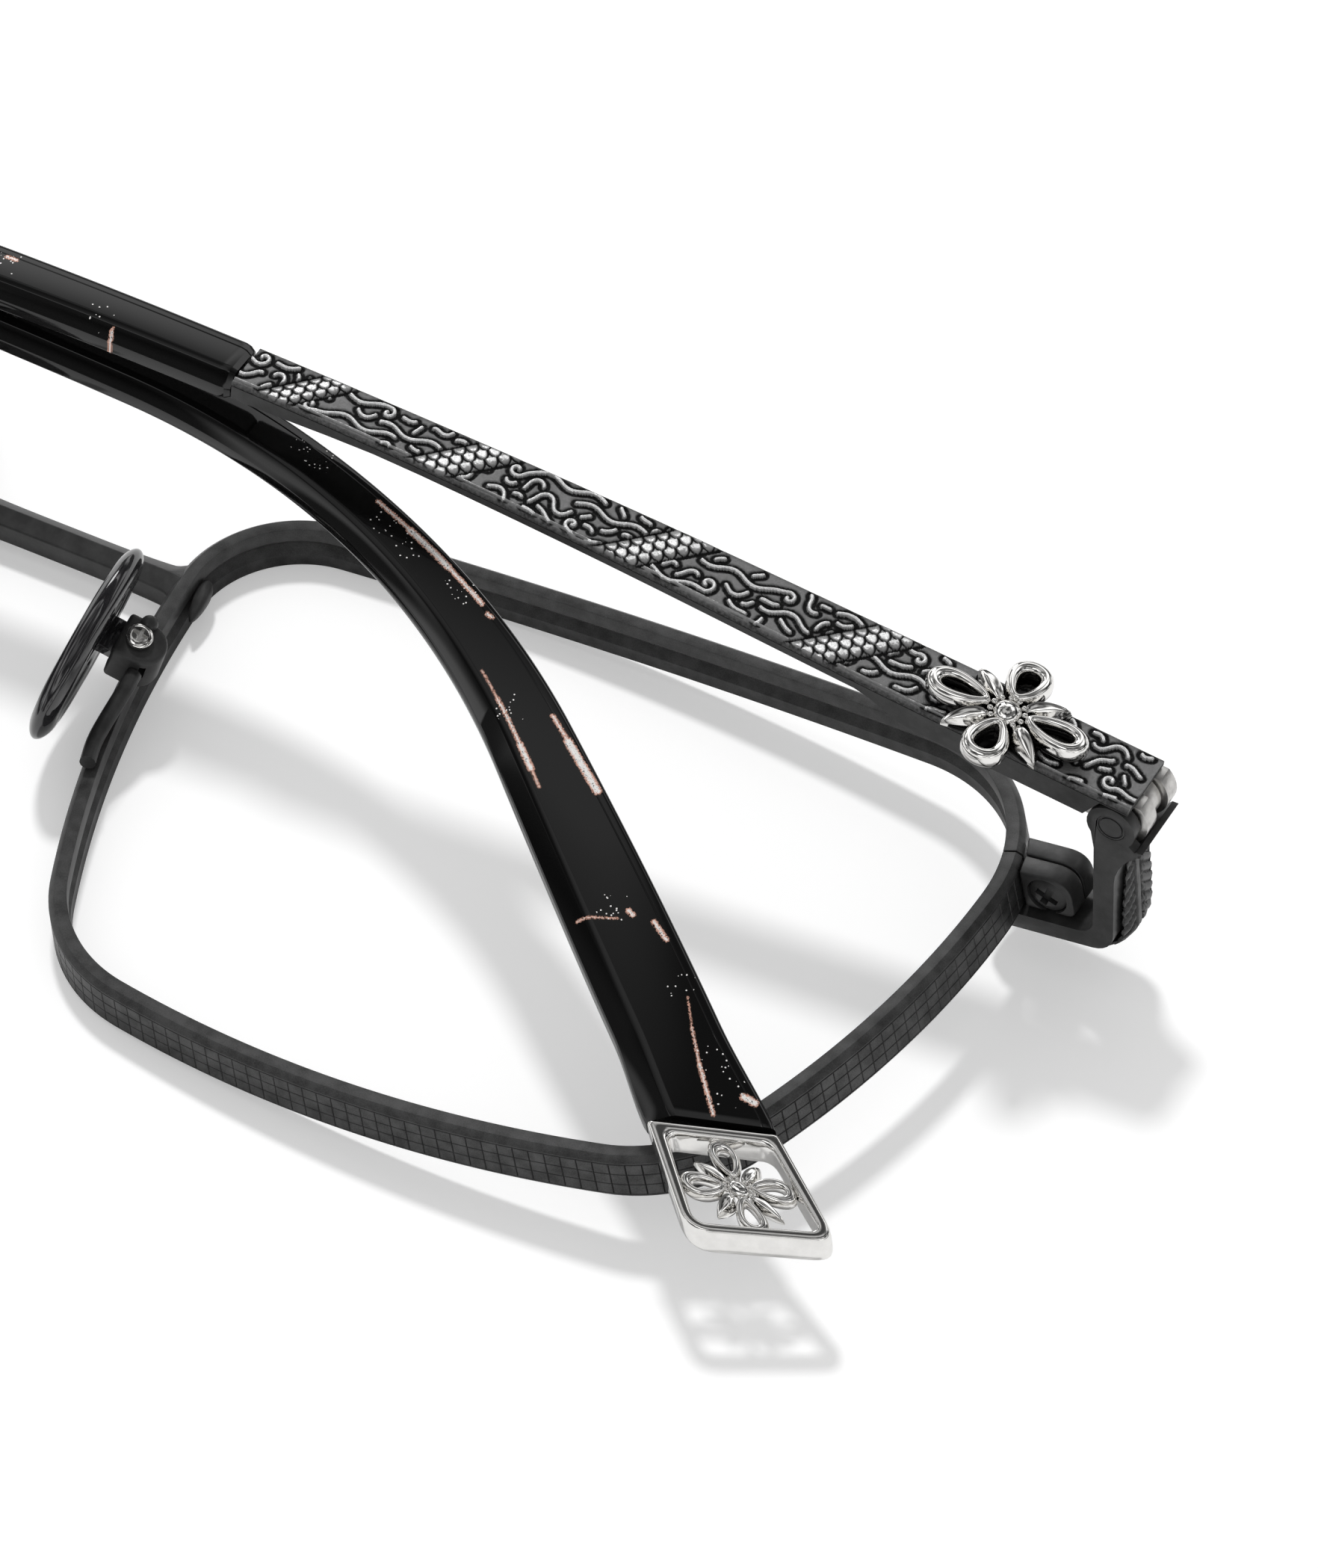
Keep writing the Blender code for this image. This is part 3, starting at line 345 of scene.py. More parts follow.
def foiledAcetate(make, tag):
    # gloss black with thin foil under the surface, and on the left tip a painted highlight streak drawn the same
    # way; the along and aside attributes tell where
    look = foilLook

    def step(operation, *values, clamp=False):
        return mathStep(make, operation, *values, clamp=clamp)

    def vectorStep(operation, output, *values):
        return make("VectorMath", dict(enumerate(values)), operation=operation), output

    def nearestOf(gaps):
        nearest = gaps[0]
        for gap in gaps[1:]:
            nearest = step("MINIMUM", nearest, gap)
        return nearest

    place = make("CombineXYZ", {"X": attributeOf(make, "along"), "Y": attributeOf(make, "aside")}), "Vector"
    rag = make("TexNoise", {"Vector": place, "Scale": look["ragScale"], "Detail": 5.0, "Roughness": 0.75}), "Fac"
    gaps = []
    for startX, startY, endX, endY, half in look[tag]:
        span = Vector((endX - startX, endY - startY, 0.0))
        offset = vectorStep("SUBTRACT", "Vector", place, (startX, startY, 0.0))
        share = vectorStep("DOT_PRODUCT", "Value", offset, span / max(span.length_squared, 1e-6))
        back = make("VectorMath", {0: span, "Scale": step("ADD", share, 0.0, clamp=True)}, operation="SCALE")
        gaps.append(step("SUBTRACT", vectorStep("DISTANCE", "Value", offset, (back, "Vector")), half))
    edge = step("MULTIPLY_ADD", rag, look["ragged"], nearestOf(gaps))
    edge = step("SUBTRACT", edge, 0.5 * look["ragged"])
    foilAndHighlight = step("MULTIPLY", step("MULTIPLY_ADD", edge, *look["edge"], clamp=True),
                step("GREATER_THAN", rag, look["pits"]))
    near = nearestOf([vectorStep("DISTANCE", "Value", place, spot + (0.0,)) for spot in look[tag + "Specks"]])
    crumbs = make("TexVoronoi", {"Vector": place, "Scale": look["crumbs"]})
    dots = step("MULTIPLY", step("LESS_THAN", (crumbs, "Distance"), look["crumbSize"]),
                step("GREATER_THAN", (crumbs, "Color"), look["crumbEmpty"]))  # most cells stay empty
    dots = step("MULTIPLY", step("LESS_THAN", near, look["speckSpread"]), dots)
    metal = step("MAXIMUM", foilAndHighlight, dots)
    core = step("MULTIPLY_ADD", edge, *look["core"], clamp=True)
    tone = rampOf(make, step("MAXIMUM", core, dots), (0.0, look["copper"]), (1.0, look["silver"]))
    colour = make("Mix", {"Factor": metal, "A": grey(look["black"]) + (1,), "B": tone}, data_type="RGBA")
    return {"Base Color": (colour, "Result"), "Metallic": step("MULTIPLY", metal, look["metal"]),
            "Roughness": rangeOf(make, metal, look["smooth"], look["rough"]), "Specular IOR Level": 0.5}


finishes = {
    "satin": newFinish("satinBlack", satinBlack),
    "engraved": newFinish("engravedBlack", engravedBlack),
    "carved": newFinish("carvedGunmetal", carvedMetal),
    "aged": newFinish("agedSilver", agedSilver),
    "silver": newFinish("polishedSilver", brightMetal, (0.80, 0.79, 0.77), (0.90, 0.89, 0.87), 0.06, 0.14, 1200.0),
    "steel": newFinish("bareSteel", brightMetal, (0.42, 0.41, 0.40), (0.70, 0.69, 0.67), 0.20, 0.42, 1500.0),
    "pad": newFinish("darkPad", darkPad),
    "acetateRight": newFinish("blackAcetateRight", foiledAcetate, "right"),
    "acetateLeft": newFinish("blackAcetateLeft", foiledAcetate, "left"),
}
print("finishes are ready")

nodeFinish = {
    "hinge_knuckle": "steel", "hinge_leaf": "steel", "endpiece_cover": "carved", "pad_screw": "silver",
    "end_cap": "silver", "temple_rosette": "aged", "cap_rosette": "aged", "nose_pad": "pad", "temple_tip": "pad",
}
for name, node in frame["nodes"].items():
    plainName = name.replace("_right", "").replace("_left", "")
    node.data.materials.clear()
    node.data.materials.append(finishes[nodeFinish.get(plainName, "satin")])
print("every packed node has a finish")


# Ways of making that several pieces share
def showPiece(mesh, name, body, slotName, finish, *nodes):
    piece = addObject(name, mesh)
    mesh.materials.clear()
    mesh.materials.append(finishes[finish])
    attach(piece, body)
    if nodes:
        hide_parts(*nodes)


def sewn(mesh, sharpAngle=None, doubles=0.00004):
    bm = bmesh.new()
    bm.from_mesh(mesh)
    bmesh.ops.remove_doubles(bm, verts=bm.verts, dist=doubles * mm)
    openEdges = [edge for edge in bm.edges if edge.is_boundary]
    if openEdges:
        bmesh.ops.holes_fill(bm, edges=openEdges, sides=0)
    bmesh.ops.recalc_face_normals(bm, faces=bm.faces)
    return toMesh(bm, mesh, sharpAngle)


def gridMesh(name, cells, place, sharpAngle=None):
    # a flat grid whose vertices are carried to their places in mm, then sewn shut; place gets each vertex's two
    # grid steps and returns points and attribute values
    along, around = cells
    bm = bmesh.new()
    bmesh.ops.create_grid(bm, x_segments=along, y_segments=around, size=0.5)
    mesh = toMesh(bm, name)
    flat = np.empty(len(mesh.vertices) * 3)
    mesh.vertices.foreach_get("co", flat)
    flat = flat.reshape(-1, 3)
    i = np.rint((flat[:, 0] + 0.5) * along).astype(int)
    j = np.rint((flat[:, 1] + 0.5) * around).astype(int)
    points, values = place(i, j)
    mesh.vertices.foreach_set("co", (points * mm).reshape(-1))
    for key, value in values.items():
        attribute = mesh.attributes.new(key, "FLOAT", "POINT")
        attribute.data.foreach_set("value", np.broadcast_to(value, i.shape).astype(float))
    return sewn(mesh, sharpAngle)


def gridPiece(name, cells, place, sharpAngle, *labels):
    # labels are the piece's body, slot and finish, and the CAD nodes that it takes the place of; the slot is not
    # used
    showPiece(gridMesh(name, cells, place, sharpAngle), name, *labels)


def joinMeshes(name, meshes, sharpAngle=None):
    # one mesh from several closed ones, which keep their attributes and sharp edges
    bm = bmesh.new()
    for mesh in meshes:
        bm.from_mesh(mesh)
    return toMesh(bm, name, sharpAngle, smooth=False)


def nodeCopy(node, dissolve=None):
    # a CAD node's mesh with its loose triangles joined, and flat neighbours made one face
    bm = bmesh.new()
    bm.from_mesh(frame["nodes"][node].data)
    bmesh.ops.remove_doubles(bm, verts=bm.verts, dist=0.001 * mm)
    if dissolve:
        bmesh.ops.dissolve_limit(bm, angle_limit=math.radians(dissolve), verts=bm.verts, edges=bm.edges)
    return bm


def nodeCentre(node):
    low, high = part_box(node)
    return (Vector(low) + Vector(high)) / (2.0 * mm)


def bevelSharp(bm, width, sharpest, segments):
    sharp = [edge for edge in bm.edges if edge.calc_face_angle(0.0) > math.radians(sharpest)]
    bmesh.ops.bevel(bm, geom=sharp, offset=width * mm, offset_type="OFFSET", segments=segments, profile=0.5,
                    affect="EDGES", clamp_overlap=True, material=-1)


def softNode(node, body, slotName, finish, width):
    # a CAD node copied with small rounded edges
    bm = nodeCopy(node, 1.0)
    bevelSharp(bm, width, 28.0, 2)
    bmesh.ops.recalc_face_normals(bm, faces=bm.faces)
    showPiece(toMesh(bm, node + "-soft", 50.0), node + "-soft", body, slotName, finish, node)


def cutMesh(mesh, cutterMesh):
    # the mesh with the cutter's volume taken out of it
    pair = [addObject(data.name, data) for data in (mesh, cutterMesh)]
    step = pair[0].modifiers.new("cut", "BOOLEAN")
    step.operation = "DIFFERENCE"
    step.solver = "EXACT"
    step.object = pair[1]
    graph = bpy.context.evaluated_depsgraph_get()
    result = bpy.data.meshes.new_from_object(pair[0].evaluated_get(graph))
    for item in pair:
        bpy.data.objects.remove(item, do_unlink=True)
    result.shade_smooth()
    result.set_sharp_from_angle(angle=math.radians(35.0))
    return result


def prismMesh(name, rings, soften=0.0, segments=3):
    # a body between two outlines of points in mm, with its sharp edges rounded
    rings = np.array(rings)
    count = rings.shape[1]

    def place(i, j):
        return rings[i, j % count], {}

    mesh = gridMesh(name, (1, count), place, 35.0)
    if not soften:
        return mesh
    bm = bmesh.new()
    bm.from_mesh(mesh)
    bevelSharp(bm, soften, 35.0, segments)
    return toMesh(bm, mesh, 40.0)


def turnedMesh(name, profile, centre, axis, steps=40):
    # profile is (distance along the axis, radius) in mm
    axis = Vector(axis).normalized()
    spoke = axis.orthogonal().normalized()
    bm = bmesh.new()
    chain = [bm.verts.new((Vector(centre) + axis * along + spoke * radius) * mm) for along, radius in profile]
    edges = [bm.edges.new(pair) for pair in zip(chain, chain[1:])]
    bmesh.ops.spin(bm, geom=chain + edges, cent=Vector(centre) * mm, axis=axis, angle=turnOnce, steps=steps,
                   use_merge=True)
    return sewn(toMesh(bm, name), 35.0, 0.002)


def crossMesh(centre, axis, reach, width, depth):
    # the cutter for a cross recess
    turn = Vector(axis).to_track_quat("Z", "Y").to_matrix().to_4x4() @ Matrix.Rotation(0.35, 4, "Z")
    half = 0.5 * width
    outline = [Matrix.Rotation(0.5 * math.pi * quarter, 2) @ Vector(corner) for quarter in range(4)
               for corner in ((reach, -half), (reach, half), (half, half))]
    return prismMesh("crossRecess", [[turn @ Vector((x, y, z)) + Vector(centre) for x, y in outline]
                                     for z in (-depth, depth)])


def softCorner(first, corner, last, steps):
    # points on a curve that replaces a corner
    shares = [k / steps for k in range(steps + 1)]
    return [tuple(first[n] * (1 - t) ** 2 + corner[n] * 2 * t * (1 - t) + last[n] * t * t for n in (0, 1))
            for t in shares]


def easeTo(value, low, high, first, last):
    share = np.clip((value - low) / (high - low), 0.0, 1.0)
    return first + (last - first) * share * share * (3.0 - 2.0 * share)


def between(span, share):
    return span[0] + (span[1] - span[0]) * share


# Temples: lengths run from the hinge axis, in mm
templeLook = {
    "top": 2.1, "bowStart": 24.7, "bowRate": 0.0025, "curlStart": 49.7, "curlRate": 0.0032,
    "bendStart": 76.1, "bendRadius": 50.8, "bendAngle": 38.6,
    "barStart": -0.8, "barTaper": 8.0, "barEnd": 56.1, "barWidths": (4.3, 3.1),
    "tipStart": 56.3, "tipEnd": 134.7, "tipWidths": (3.1, 3.2, 5.5, 6.2), "tipFlare": 6.0, "tipThickness": 2.0,
    "capGap": 0.2, "capLength": 7.1, "capFlare": 0.55, "capThickness": 1.8, "nearShear": 0.55, "farShear": 0.50,
}


def topHeight(s):
    look = templeLook
    bow = np.clip(s, look["bowStart"], look["curlStart"]) - look["bowStart"]
    curl = np.maximum(0.0, s - look["curlStart"])
    slope = -look["bowRate"] * (look["curlStart"] - look["bowStart"])
    return look["top"] - 0.5 * look["bowRate"] * bow ** 2 + slope * curl - 0.5 * look["curlRate"] * curl ** 2


def onTemple(side, along, aside, height):
    # from the temple's own frame, in mm, to the folded frame's
    sign, tag, lift = side
    angle = math.radians(sign * lift)
    hinge = hinges[tag + "_temple"] / mm
    x = -sign * along
    return np.stack([hinge.x + x * math.cos(angle) + height * math.sin(angle), hinge.y + aside + 0.0 * height,
                     hinge.z - x * math.sin(angle) + height * math.cos(angle)], axis=-1)


def centreLine(s):
    # the place along and aside, then the sine and cosine of the bend
    look = templeLook
    total = math.radians(look["bendAngle"])
    turn = np.clip((s - look["bendStart"]) / look["bendRadius"], 0.0, total)
    lean, upright = np.sin(turn), np.cos(turn)
    rest = np.maximum(0.0, s - look["bendStart"] - look["bendRadius"] * total)
    along = np.minimum(s, look["bendStart"]) + look["bendRadius"] * lean + rest * upright
    return along, -look["bendRadius"] * (1.0 - upright) - rest * lean, lean, upright


def templePoint(side, s, across, drop):
    along, aside, lean, upright = centreLine(s)
    return onTemple(side, along + lean * across, aside + upright * across, topHeight(s) - drop)


def capPoint(side, s, across, drop):
    # the cap is flat, so its points are placed from the temple's direction at its middle
    middle = templeLook["tipEnd"] + 0.5 * templeLook["capLength"]
    along, aside, lean, upright = centreLine(np.array(middle))
    slope = float(topHeight(middle + 1.0) - topHeight(middle - 1.0)) / 2.0
    run = (s - middle) / math.sqrt(1.0 + slope * slope)
    return onTemple(side, along + upright * run + lean * across, aside - lean * run + upright * across,
                    topHeight(middle) + slope * run - drop)


# Temple bars: a dark cast bar with a relief plate let into its outer face
reliefLook = {
    "cells": (1300, 54), "depth": 0.27, "shoulder": 0.24, "plate": 0.44, "seed": 11,
    "bands": ((17.3, 0.95), (29.8, 0.95), (42.0, 0.95), (52.2, 0.75)),  # place along the bar and half the width
    "bandTilt": 47.0, "bandEdges": (0.238, 0.102), "scalePitch": 0.74, "scaleRows": 3, "scaleLine": (0.045, 0.06),
    "lineHalf": 0.13, "moatWidth": 0.19, "moatSlope": 0.08, "border": (0.34, 0.10),
    # how high things rise and how bright they are, each from its least to its most; the brightness is painted
    # light, with highlights on crests, the border line, scale tips and band middles, and shade in moats, outlines,
    # under scales and on the shoulders
    "lineRise": (0.30, 1.0), "lineShade": (0.55, 1.0), "groundRise": (0.12, 0.42), "groundShade": (0.02, 0.42),
    "borderRise": (0.25, 0.95), "borderShade": (0.0, 0.85), "domeRise": (0.25, 1.0), "domeShade": (0.30, 1.0),
    "scaleRise": (0.45, 1.0), "scaleTilt": (0.40, 1.0), "scaleShade": (0.88, 1.0), "underScale": 0.80,
    "shoulderRise": 0.30, "shoulderShade": 0.16, "gapRise": 0.05,
    "stride": 0.06, "waveRate": 2.1, "turnRate": 0.16, "headings": (0.0, 6.28),
    "fillTries": 4000, "fillAside": 1.9, "fillLength": (1.2, 5.0), "fillSwing": (0.7, 1.9), "fillGap": 0.52,
    "fillEdge": 0.30, "fillLeast": 8,
    "scrollFirst": 1.0, "scrollStep": 4.2, "scrollRows": (-0.85, 0.95), "scrollShift": (0.3, 0.15),
    "scrollSize": 0.46, "scrollVary": (0.85, 1.15), "scrollTurns": 0.85, "scrollRadii": (0.18, 0.82),
    "scrollCount": 46, "tailLength": 5.4, "tailSwing": 0.60,
    "coreTop": 0.31, "coreRoom": 0.02,  # which of the bar's vertices make room for the plate, and how much
}


def barWidth(s):
    return easeTo(s, templeLook["barTaper"], templeLook["barEnd"], *templeLook["barWidths"])


def wavyLine(x, y, heading, length, swing, rng, known=None):
    # a line that wanders along the bar; given known points, it ends where it comes near them or near the edge
    look = reliefLook
    stride = look["stride"]
    forward = 0.0 if math.cos(heading) > 0.0 else math.pi
    phase = rng.uniform(*look["headings"])
    points = []
    for k in range(int(length / stride)):
        wanted = forward + swing * math.sin(phase + look["waveRate"] * k * stride)
        heading += look["turnRate"] * math.remainder(wanted - heading, turnOnce)
        x += stride * math.cos(heading)
        y += stride * math.sin(heading)
        if known is not None:
            nearest = np.hypot(known[:, 0] - x, known[:, 1] - y).min()
            if nearest < look["fillGap"] or abs(y) > 0.5 * barWidth(x) - look["fillEdge"]:
                break
        points.append((x, y))
    return points


def scrollLine(centre, size, heading, flip, rng):
    # a spiral that runs out into a wavy tail along the bar
    look = reliefLook
    inner, growth = look["scrollRadii"]
    points = []
    for k in range(look["scrollCount"] + 1):
        share = k / look["scrollCount"]
        angle = heading + flip * turnOnce * look["scrollTurns"] * share
        radius = size * (inner + growth * share)
        points.append((centre[0] + radius * math.cos(angle), centre[1] + radius * math.sin(angle)))
    heading = angle + flip * 0.5 * math.pi
    return points + wavyLine(*points[-1], heading, look["tailLength"], look["tailSwing"], rng)


def reliefStrokes():
    # the points of all raised lines: scrolls in two rows, then short lines in the room that is left
    look = reliefLook
    rng = random.Random(look["seed"])
    barEnd = templeLook["barEnd"]
    strokes = []
    place, row = look["scrollFirst"], 0
    while place < barEnd:
        shifts = [rng.uniform(-shift, shift) for shift in look["scrollShift"]]
        centre = (place + shifts[0], look["scrollRows"][row % 2] + shifts[1])
        size = look["scrollSize"] * rng.uniform(*look["scrollVary"])
        strokes += scrollLine(centre, size, rng.uniform(*look["headings"]), rng.choice((-1.0, 1.0)), rng)
        place += look["scrollStep"]
        row += 1
    known = np.array(strokes)
    for attempt in range(look["fillTries"]):
        startX, startY = rng.uniform(0.0, barEnd - 1.0), rng.uniform(-look["fillAside"], look["fillAside"])
        line = wavyLine(startX, startY, rng.uniform(*look["headings"]), rng.uniform(*look["fillLength"]),
                        rng.uniform(*look["fillSwing"]), rng, known)
        if len(line) > look["fillLeast"]:
            strokes += line
            known = np.array(strokes)
    return strokes


def reliefTable():
    # height and carve over the bar's face, as tables of the distance along and across it
    look = reliefLook
    s = np.linspace(templeLook["barStart"], templeLook["barEnd"], look["cells"][0] + 1)[:, None]
    half = 0.5 * barWidth(s)
    a = np.linspace(-1.0, 1.0, look["cells"][1] + 1)[None, :] * half
    s = s + 0.0 * a
    strokes = reliefStrokes()
    tree = kdtree.KDTree(len(strokes))
    for index, (x, y) in enumerate(strokes):
        tree.insert((x, y, 0.0), index)
    tree.balance()
    gap = np.array([tree.find((x, y, 0.0))[2] for x, y in zip(s.flat, a.flat)]).reshape(s.shape)
    line = look["lineHalf"]
    crest = np.clip(1.0 - (gap / line) ** 2, 0.0, 1.0)
    outside = np.clip((gap - line - look["moatWidth"]) / look["moatSlope"], 0.0, 1.0)
    # crests get a painted highlight, and the moat beside each line a painted shade
    height = np.where(gap < line, between(look["lineRise"], crest ** 0.6), between(look["groundRise"], outside))
    carve = np.where(gap < line, between(look["lineShade"], crest), between(look["groundShade"], outside))
    edgeIn = half - np.abs(a)
    borderIn, borderHalf = look["border"]
    border = np.clip(1.0 - ((edgeIn - borderIn) / borderHalf) ** 2, 0.0, 1.0) * (a < 0.0)
    # the raised border line along the chin edge gets a painted highlight
    height = np.maximum(height, between(look["borderRise"], border))
    carve = np.maximum(carve, between(look["borderShade"], border))
    tilt = math.radians(look["bandTilt"])
    edgeLow, edgeHigh = look["bandEdges"]
    lineStart, lineSlope = look["scaleLine"]
    for centre, bandHalf in look["bands"]:
        u = (s - centre) * math.sin(tilt) + a * math.cos(tilt)
        v = a * math.sin(tilt) - (s - centre) * math.cos(tilt)
        fromTop = (bandHalf - u) / (2.0 * bandHalf / look["scaleRows"])
        row = np.floor(fromTop)
        y = fromTop - row
        x = v / look["scalePitch"] + 0.5 * (row % 2)
        x = np.abs(x - np.rint(x))
        reach = 0.5 * np.sqrt(np.clip(1.0 - y ** 2.4, 0.0, 1.0))  # half the scale's width as it comes to its tip
        plain = np.clip((np.abs(x - reach) * look["scalePitch"] - lineStart) / lineSlope, 0.0, 1.0)
        dome = np.sqrt(np.clip(1.0 - (u / bandHalf) ** 2, 0.0, 1.0))
        lifted = between(look["scaleTilt"], np.where(x < reach, y, 0.0))  # a scale rises from its root to its tip
        # painted light: each scale brightens to a painted highlight at its tip, the root under it and the outlines
        # between scales are painted shade, and the band is brighter along its domed middle
        bright = np.where(x < reach, between(look["scaleShade"], y), look["underScale"])
        shade = plain * between(look["domeShade"], dome) * bright
        inBand = np.abs(u) < bandHalf
        # a dark line of painted shadow runs along each band's edges
        rim = ~inBand & (u > -bandHalf - edgeLow) & (u < bandHalf + edgeHigh)
        raised = between(look["domeRise"], dome) * between(look["scaleRise"], plain * lifted)
        height = np.where(rim, look["gapRise"], np.where(inBand, raised, height))
        carve = np.where(rim, 0.0, np.where(inBand, shade, carve))
    # towards the bar's rounded edges the brightness falls to a painted shade
    fade = np.clip(edgeIn / look["shoulder"], 0.0, 1.0)
    return between((look["shoulderRise"], height), fade), between((look["shoulderShade"], carve), fade)


def addReliefPlate(side, height, carve):
    look = reliefLook
    tag, shoulder = side[1], look["shoulder"]
    alongCells, acrossCells = look["cells"]

    def place(i, j):
        # across the face, then down, back underneath and up
        top = np.where(j == acrossCells + 3, 0, np.minimum(j, acrossCells))
        s = between((templeLook["barStart"], templeLook["barEnd"]), i / alongCells)
        half = 0.5 * barWidth(s)
        across = half * (2.0 * top / acrossCells - 1.0)
        inward = np.clip(np.abs(across) - half + shoulder, 0.0, shoulder)
        rounding = shoulder - np.sqrt(shoulder ** 2 - inward ** 2)
        drop = 0.92 * rounding + (1.0 - height[i, top]) * look["depth"] * (1.0 - 0.8 * inward / shoulder)
        under = (j == acrossCells + 1) | (j == acrossCells + 2)
        across = np.where(j == acrossCells + 2, -half, across)
        return (templePoint(side, s, across, np.where(under, look["plate"], drop)),
                {"carve": np.where(under, 0.1, carve[i, top])})

    gridPiece("reliefPlate-" + tag, (alongCells, acrossCells + 3), place, 70.0, tag + "_temple",
              "carved_gunmetal", "carved")


def addBarCore(side):
    # the bar under the relief plate; its outer face lies lower, so that the plate has room
    sign, tag, lift = side
    bm = nodeCopy("temple_bar_" + tag)
    turn = Matrix.Translation(hinges[tag + "_temple"]) @ Matrix.Rotation(math.radians(sign * lift), 4, "Y")
    back = turn.inverted()
    for vertex in bm.verts:
        local = back @ vertex.co
        top = float(topHeight(-sign * local.x / mm))
        drop = top - local.z / mm
        if drop < reliefLook["coreTop"]:
            local.z = (top - reliefLook["plate"] - reliefLook["coreRoom"] - 0.1 * drop) * mm
            vertex.co = turn @ local
    showPiece(toMesh(bm, "barCore-" + tag, 30.0), "barCore-" + tag, tag + "_temple", "carved_gunmetal", "satin",
              "temple_bar_" + tag)


relief = reliefTable()
for side in sides:
    addReliefPlate(side, *relief)
    addBarCore(side)
print("temple bars are carved")


# Acetate tips
tipLook = {"cells": 240, "ridge": 0.58, "chamfer": 0.20, "soft": 0.35, "edgeDrop": 1.0, "lineInset": 0.62,
           "bendNeck": 10.0, "endSoft": (0.20, 0.05), "shearFrom": 0.80}


def tipWidth(s):
    look = templeLook
    start, bend, neck, end = look["tipWidths"]
    flareStart = look["tipEnd"] - look["tipFlare"]
    bendEnd = look["bendStart"] + tipLook["bendNeck"]
    width = easeTo(s, look["barEnd"], bendEnd, start, bend) + easeTo(s, bendEnd, flareStart, 0.0, neck - bend)
    return width + easeTo(s, flareStart, look["tipEnd"], 0.0, end - neck)


def tipSection():
    # (share of the half width, mm added to it, drop), from the brow edge over the top to the chin edge and back
    look = tipLook
    soft, thick, line, low = look["soft"], templeLook["tipThickness"], -look["lineInset"], look["edgeDrop"]
    chamfer, foot = look["chamfer"], -0.3 * look["chamfer"]
    groups = (
        (1.0, softCorner((0.0, soft), (0.0, 0.0), (-soft, 0.0), 8)),
        (1.0, [(line + 0.05, 0.0), (line, 0.03), (line - 0.05, 0.0)]),
        (-look["ridge"], [(chamfer + 0.12, 0.0), (chamfer, 0.012), (foot, 0.10), (foot - 0.05, 0.15)]),
        (-1.0, [(0.10, low - 0.14), (0.03, low - 0.02), (0.0, low + 0.10)]),
        (-1.0, softCorner((0.0, thick - soft), (0.0, thick), (soft, thick), 7)),
        (1.0, softCorner((-soft, thick), (0.0, thick), (0.0, thick - soft), 7)),
    )
    return np.array([(share, x, y) for share, spots in groups for x, y in spots])


def addTip(side):
    look = templeLook
    tag, cells = side[1], tipLook["cells"]
    ring = tipSection()
    firstPull, nextPull = tipLook["endSoft"]

    def place(i, j):
        share = i / cells
        s = between((look["tipStart"], look["tipEnd"]), share)
        half = 0.5 * tipWidth(s)
        wide, added, drop = ring[j % len(ring)].T
        pull = np.where(i == 0, firstPull, np.where((i == 1) | (i == cells), nextPull, 0.0))
        across = (wide * half + added) * (1.0 - pull / half)
        along = s + look["nearShear"] * easeTo(share, tipLook["shearFrom"], 1.0, 0.0, 1.0) * across
        points = templePoint(side, along, across, drop + pull * (1.0 - drop))
        return points, {"along": along, "aside": across}

    gridPiece("acetateTip-" + tag, (cells, len(ring)), place, 15.0, tag + "_temple", "black_acetate",
              "acetate" + tag.capitalize(), "temple_tip_" + tag)


for side in sides:
    addTip(side)
print("acetate tips are made")


# End caps: a polished band round an open window
capLook = {"margin": 0.7, "outerCorner": 1.5, "innerCorner": 0.7, "sharpCorner": 0.12, "cornerSteps": 8,
           "edgeSteps": 10, "around": 36, "squareness": 0.50}


def capOutline(margin, corners):
    look = templeLook
    nearHalf = 0.5 * look["tipWidths"][3] - margin
    farHalf = nearHalf + look["capFlare"]
    near, far = look["nearShear"] * nearHalf, look["farShear"] * farHalf
    start = look["tipEnd"] + look["capGap"] + margin
    end = look["tipEnd"] + look["capLength"] - margin
    points = [Vector(spot) for spot in ((start - near, -nearHalf), (end - far, -farHalf), (end + far, farHalf),
                                        (start + near, nearHalf))]
    steps = capLook["edgeSteps"]
    outline = []
    for i, here in enumerate(points):
        ahead = points[(i + 1) % 4]
        before, after = (points[i - 1] - here).normalized(), (ahead - here).normalized()
        last = here + after * corners[i]
        target = ahead - after * corners[(i + 1) % 4]
        outline += softCorner(here + before * corners[i], here, last, capLook["cornerSteps"])
        outline += [tuple(last + (target - last) * k / steps) for k in range(1, steps)]
    return np.array(outline)


def addEndCap(side):
    look = capLook
    tag = side[1]
    sharp, blunt = look["sharpCorner"], look["outerCorner"]
    outer = capOutline(0.0, [sharp, blunt, blunt, sharp])
    inner = capOutline(look["margin"], [look["innerCorner"]] * 4)
    count = len(outer)

    def place(i, j):
        angle = turnOnce * j / look["around"]
        wide, deep = [np.sign(part) * np.abs(part) ** look["squareness"]
                      for part in (np.cos(angle), np.sin(angle))]
        share = (0.5 - 0.5 * wide)[:, None]
        x, y = (outer[i % count] * (1.0 - share) + inner[i % count] * share).T
        return capPoint(side, x, y, 0.5 * templeLook["capThickness"] * (1.0 - deep)), {}

    gridPiece("endCap-" + tag, (count, look["around"]), place, 60.0, tag + "_temple", "polished_silver", "silver",
              "end_cap_" + tag)


for side in sides:
    addEndCap(side)
print("end caps are made")


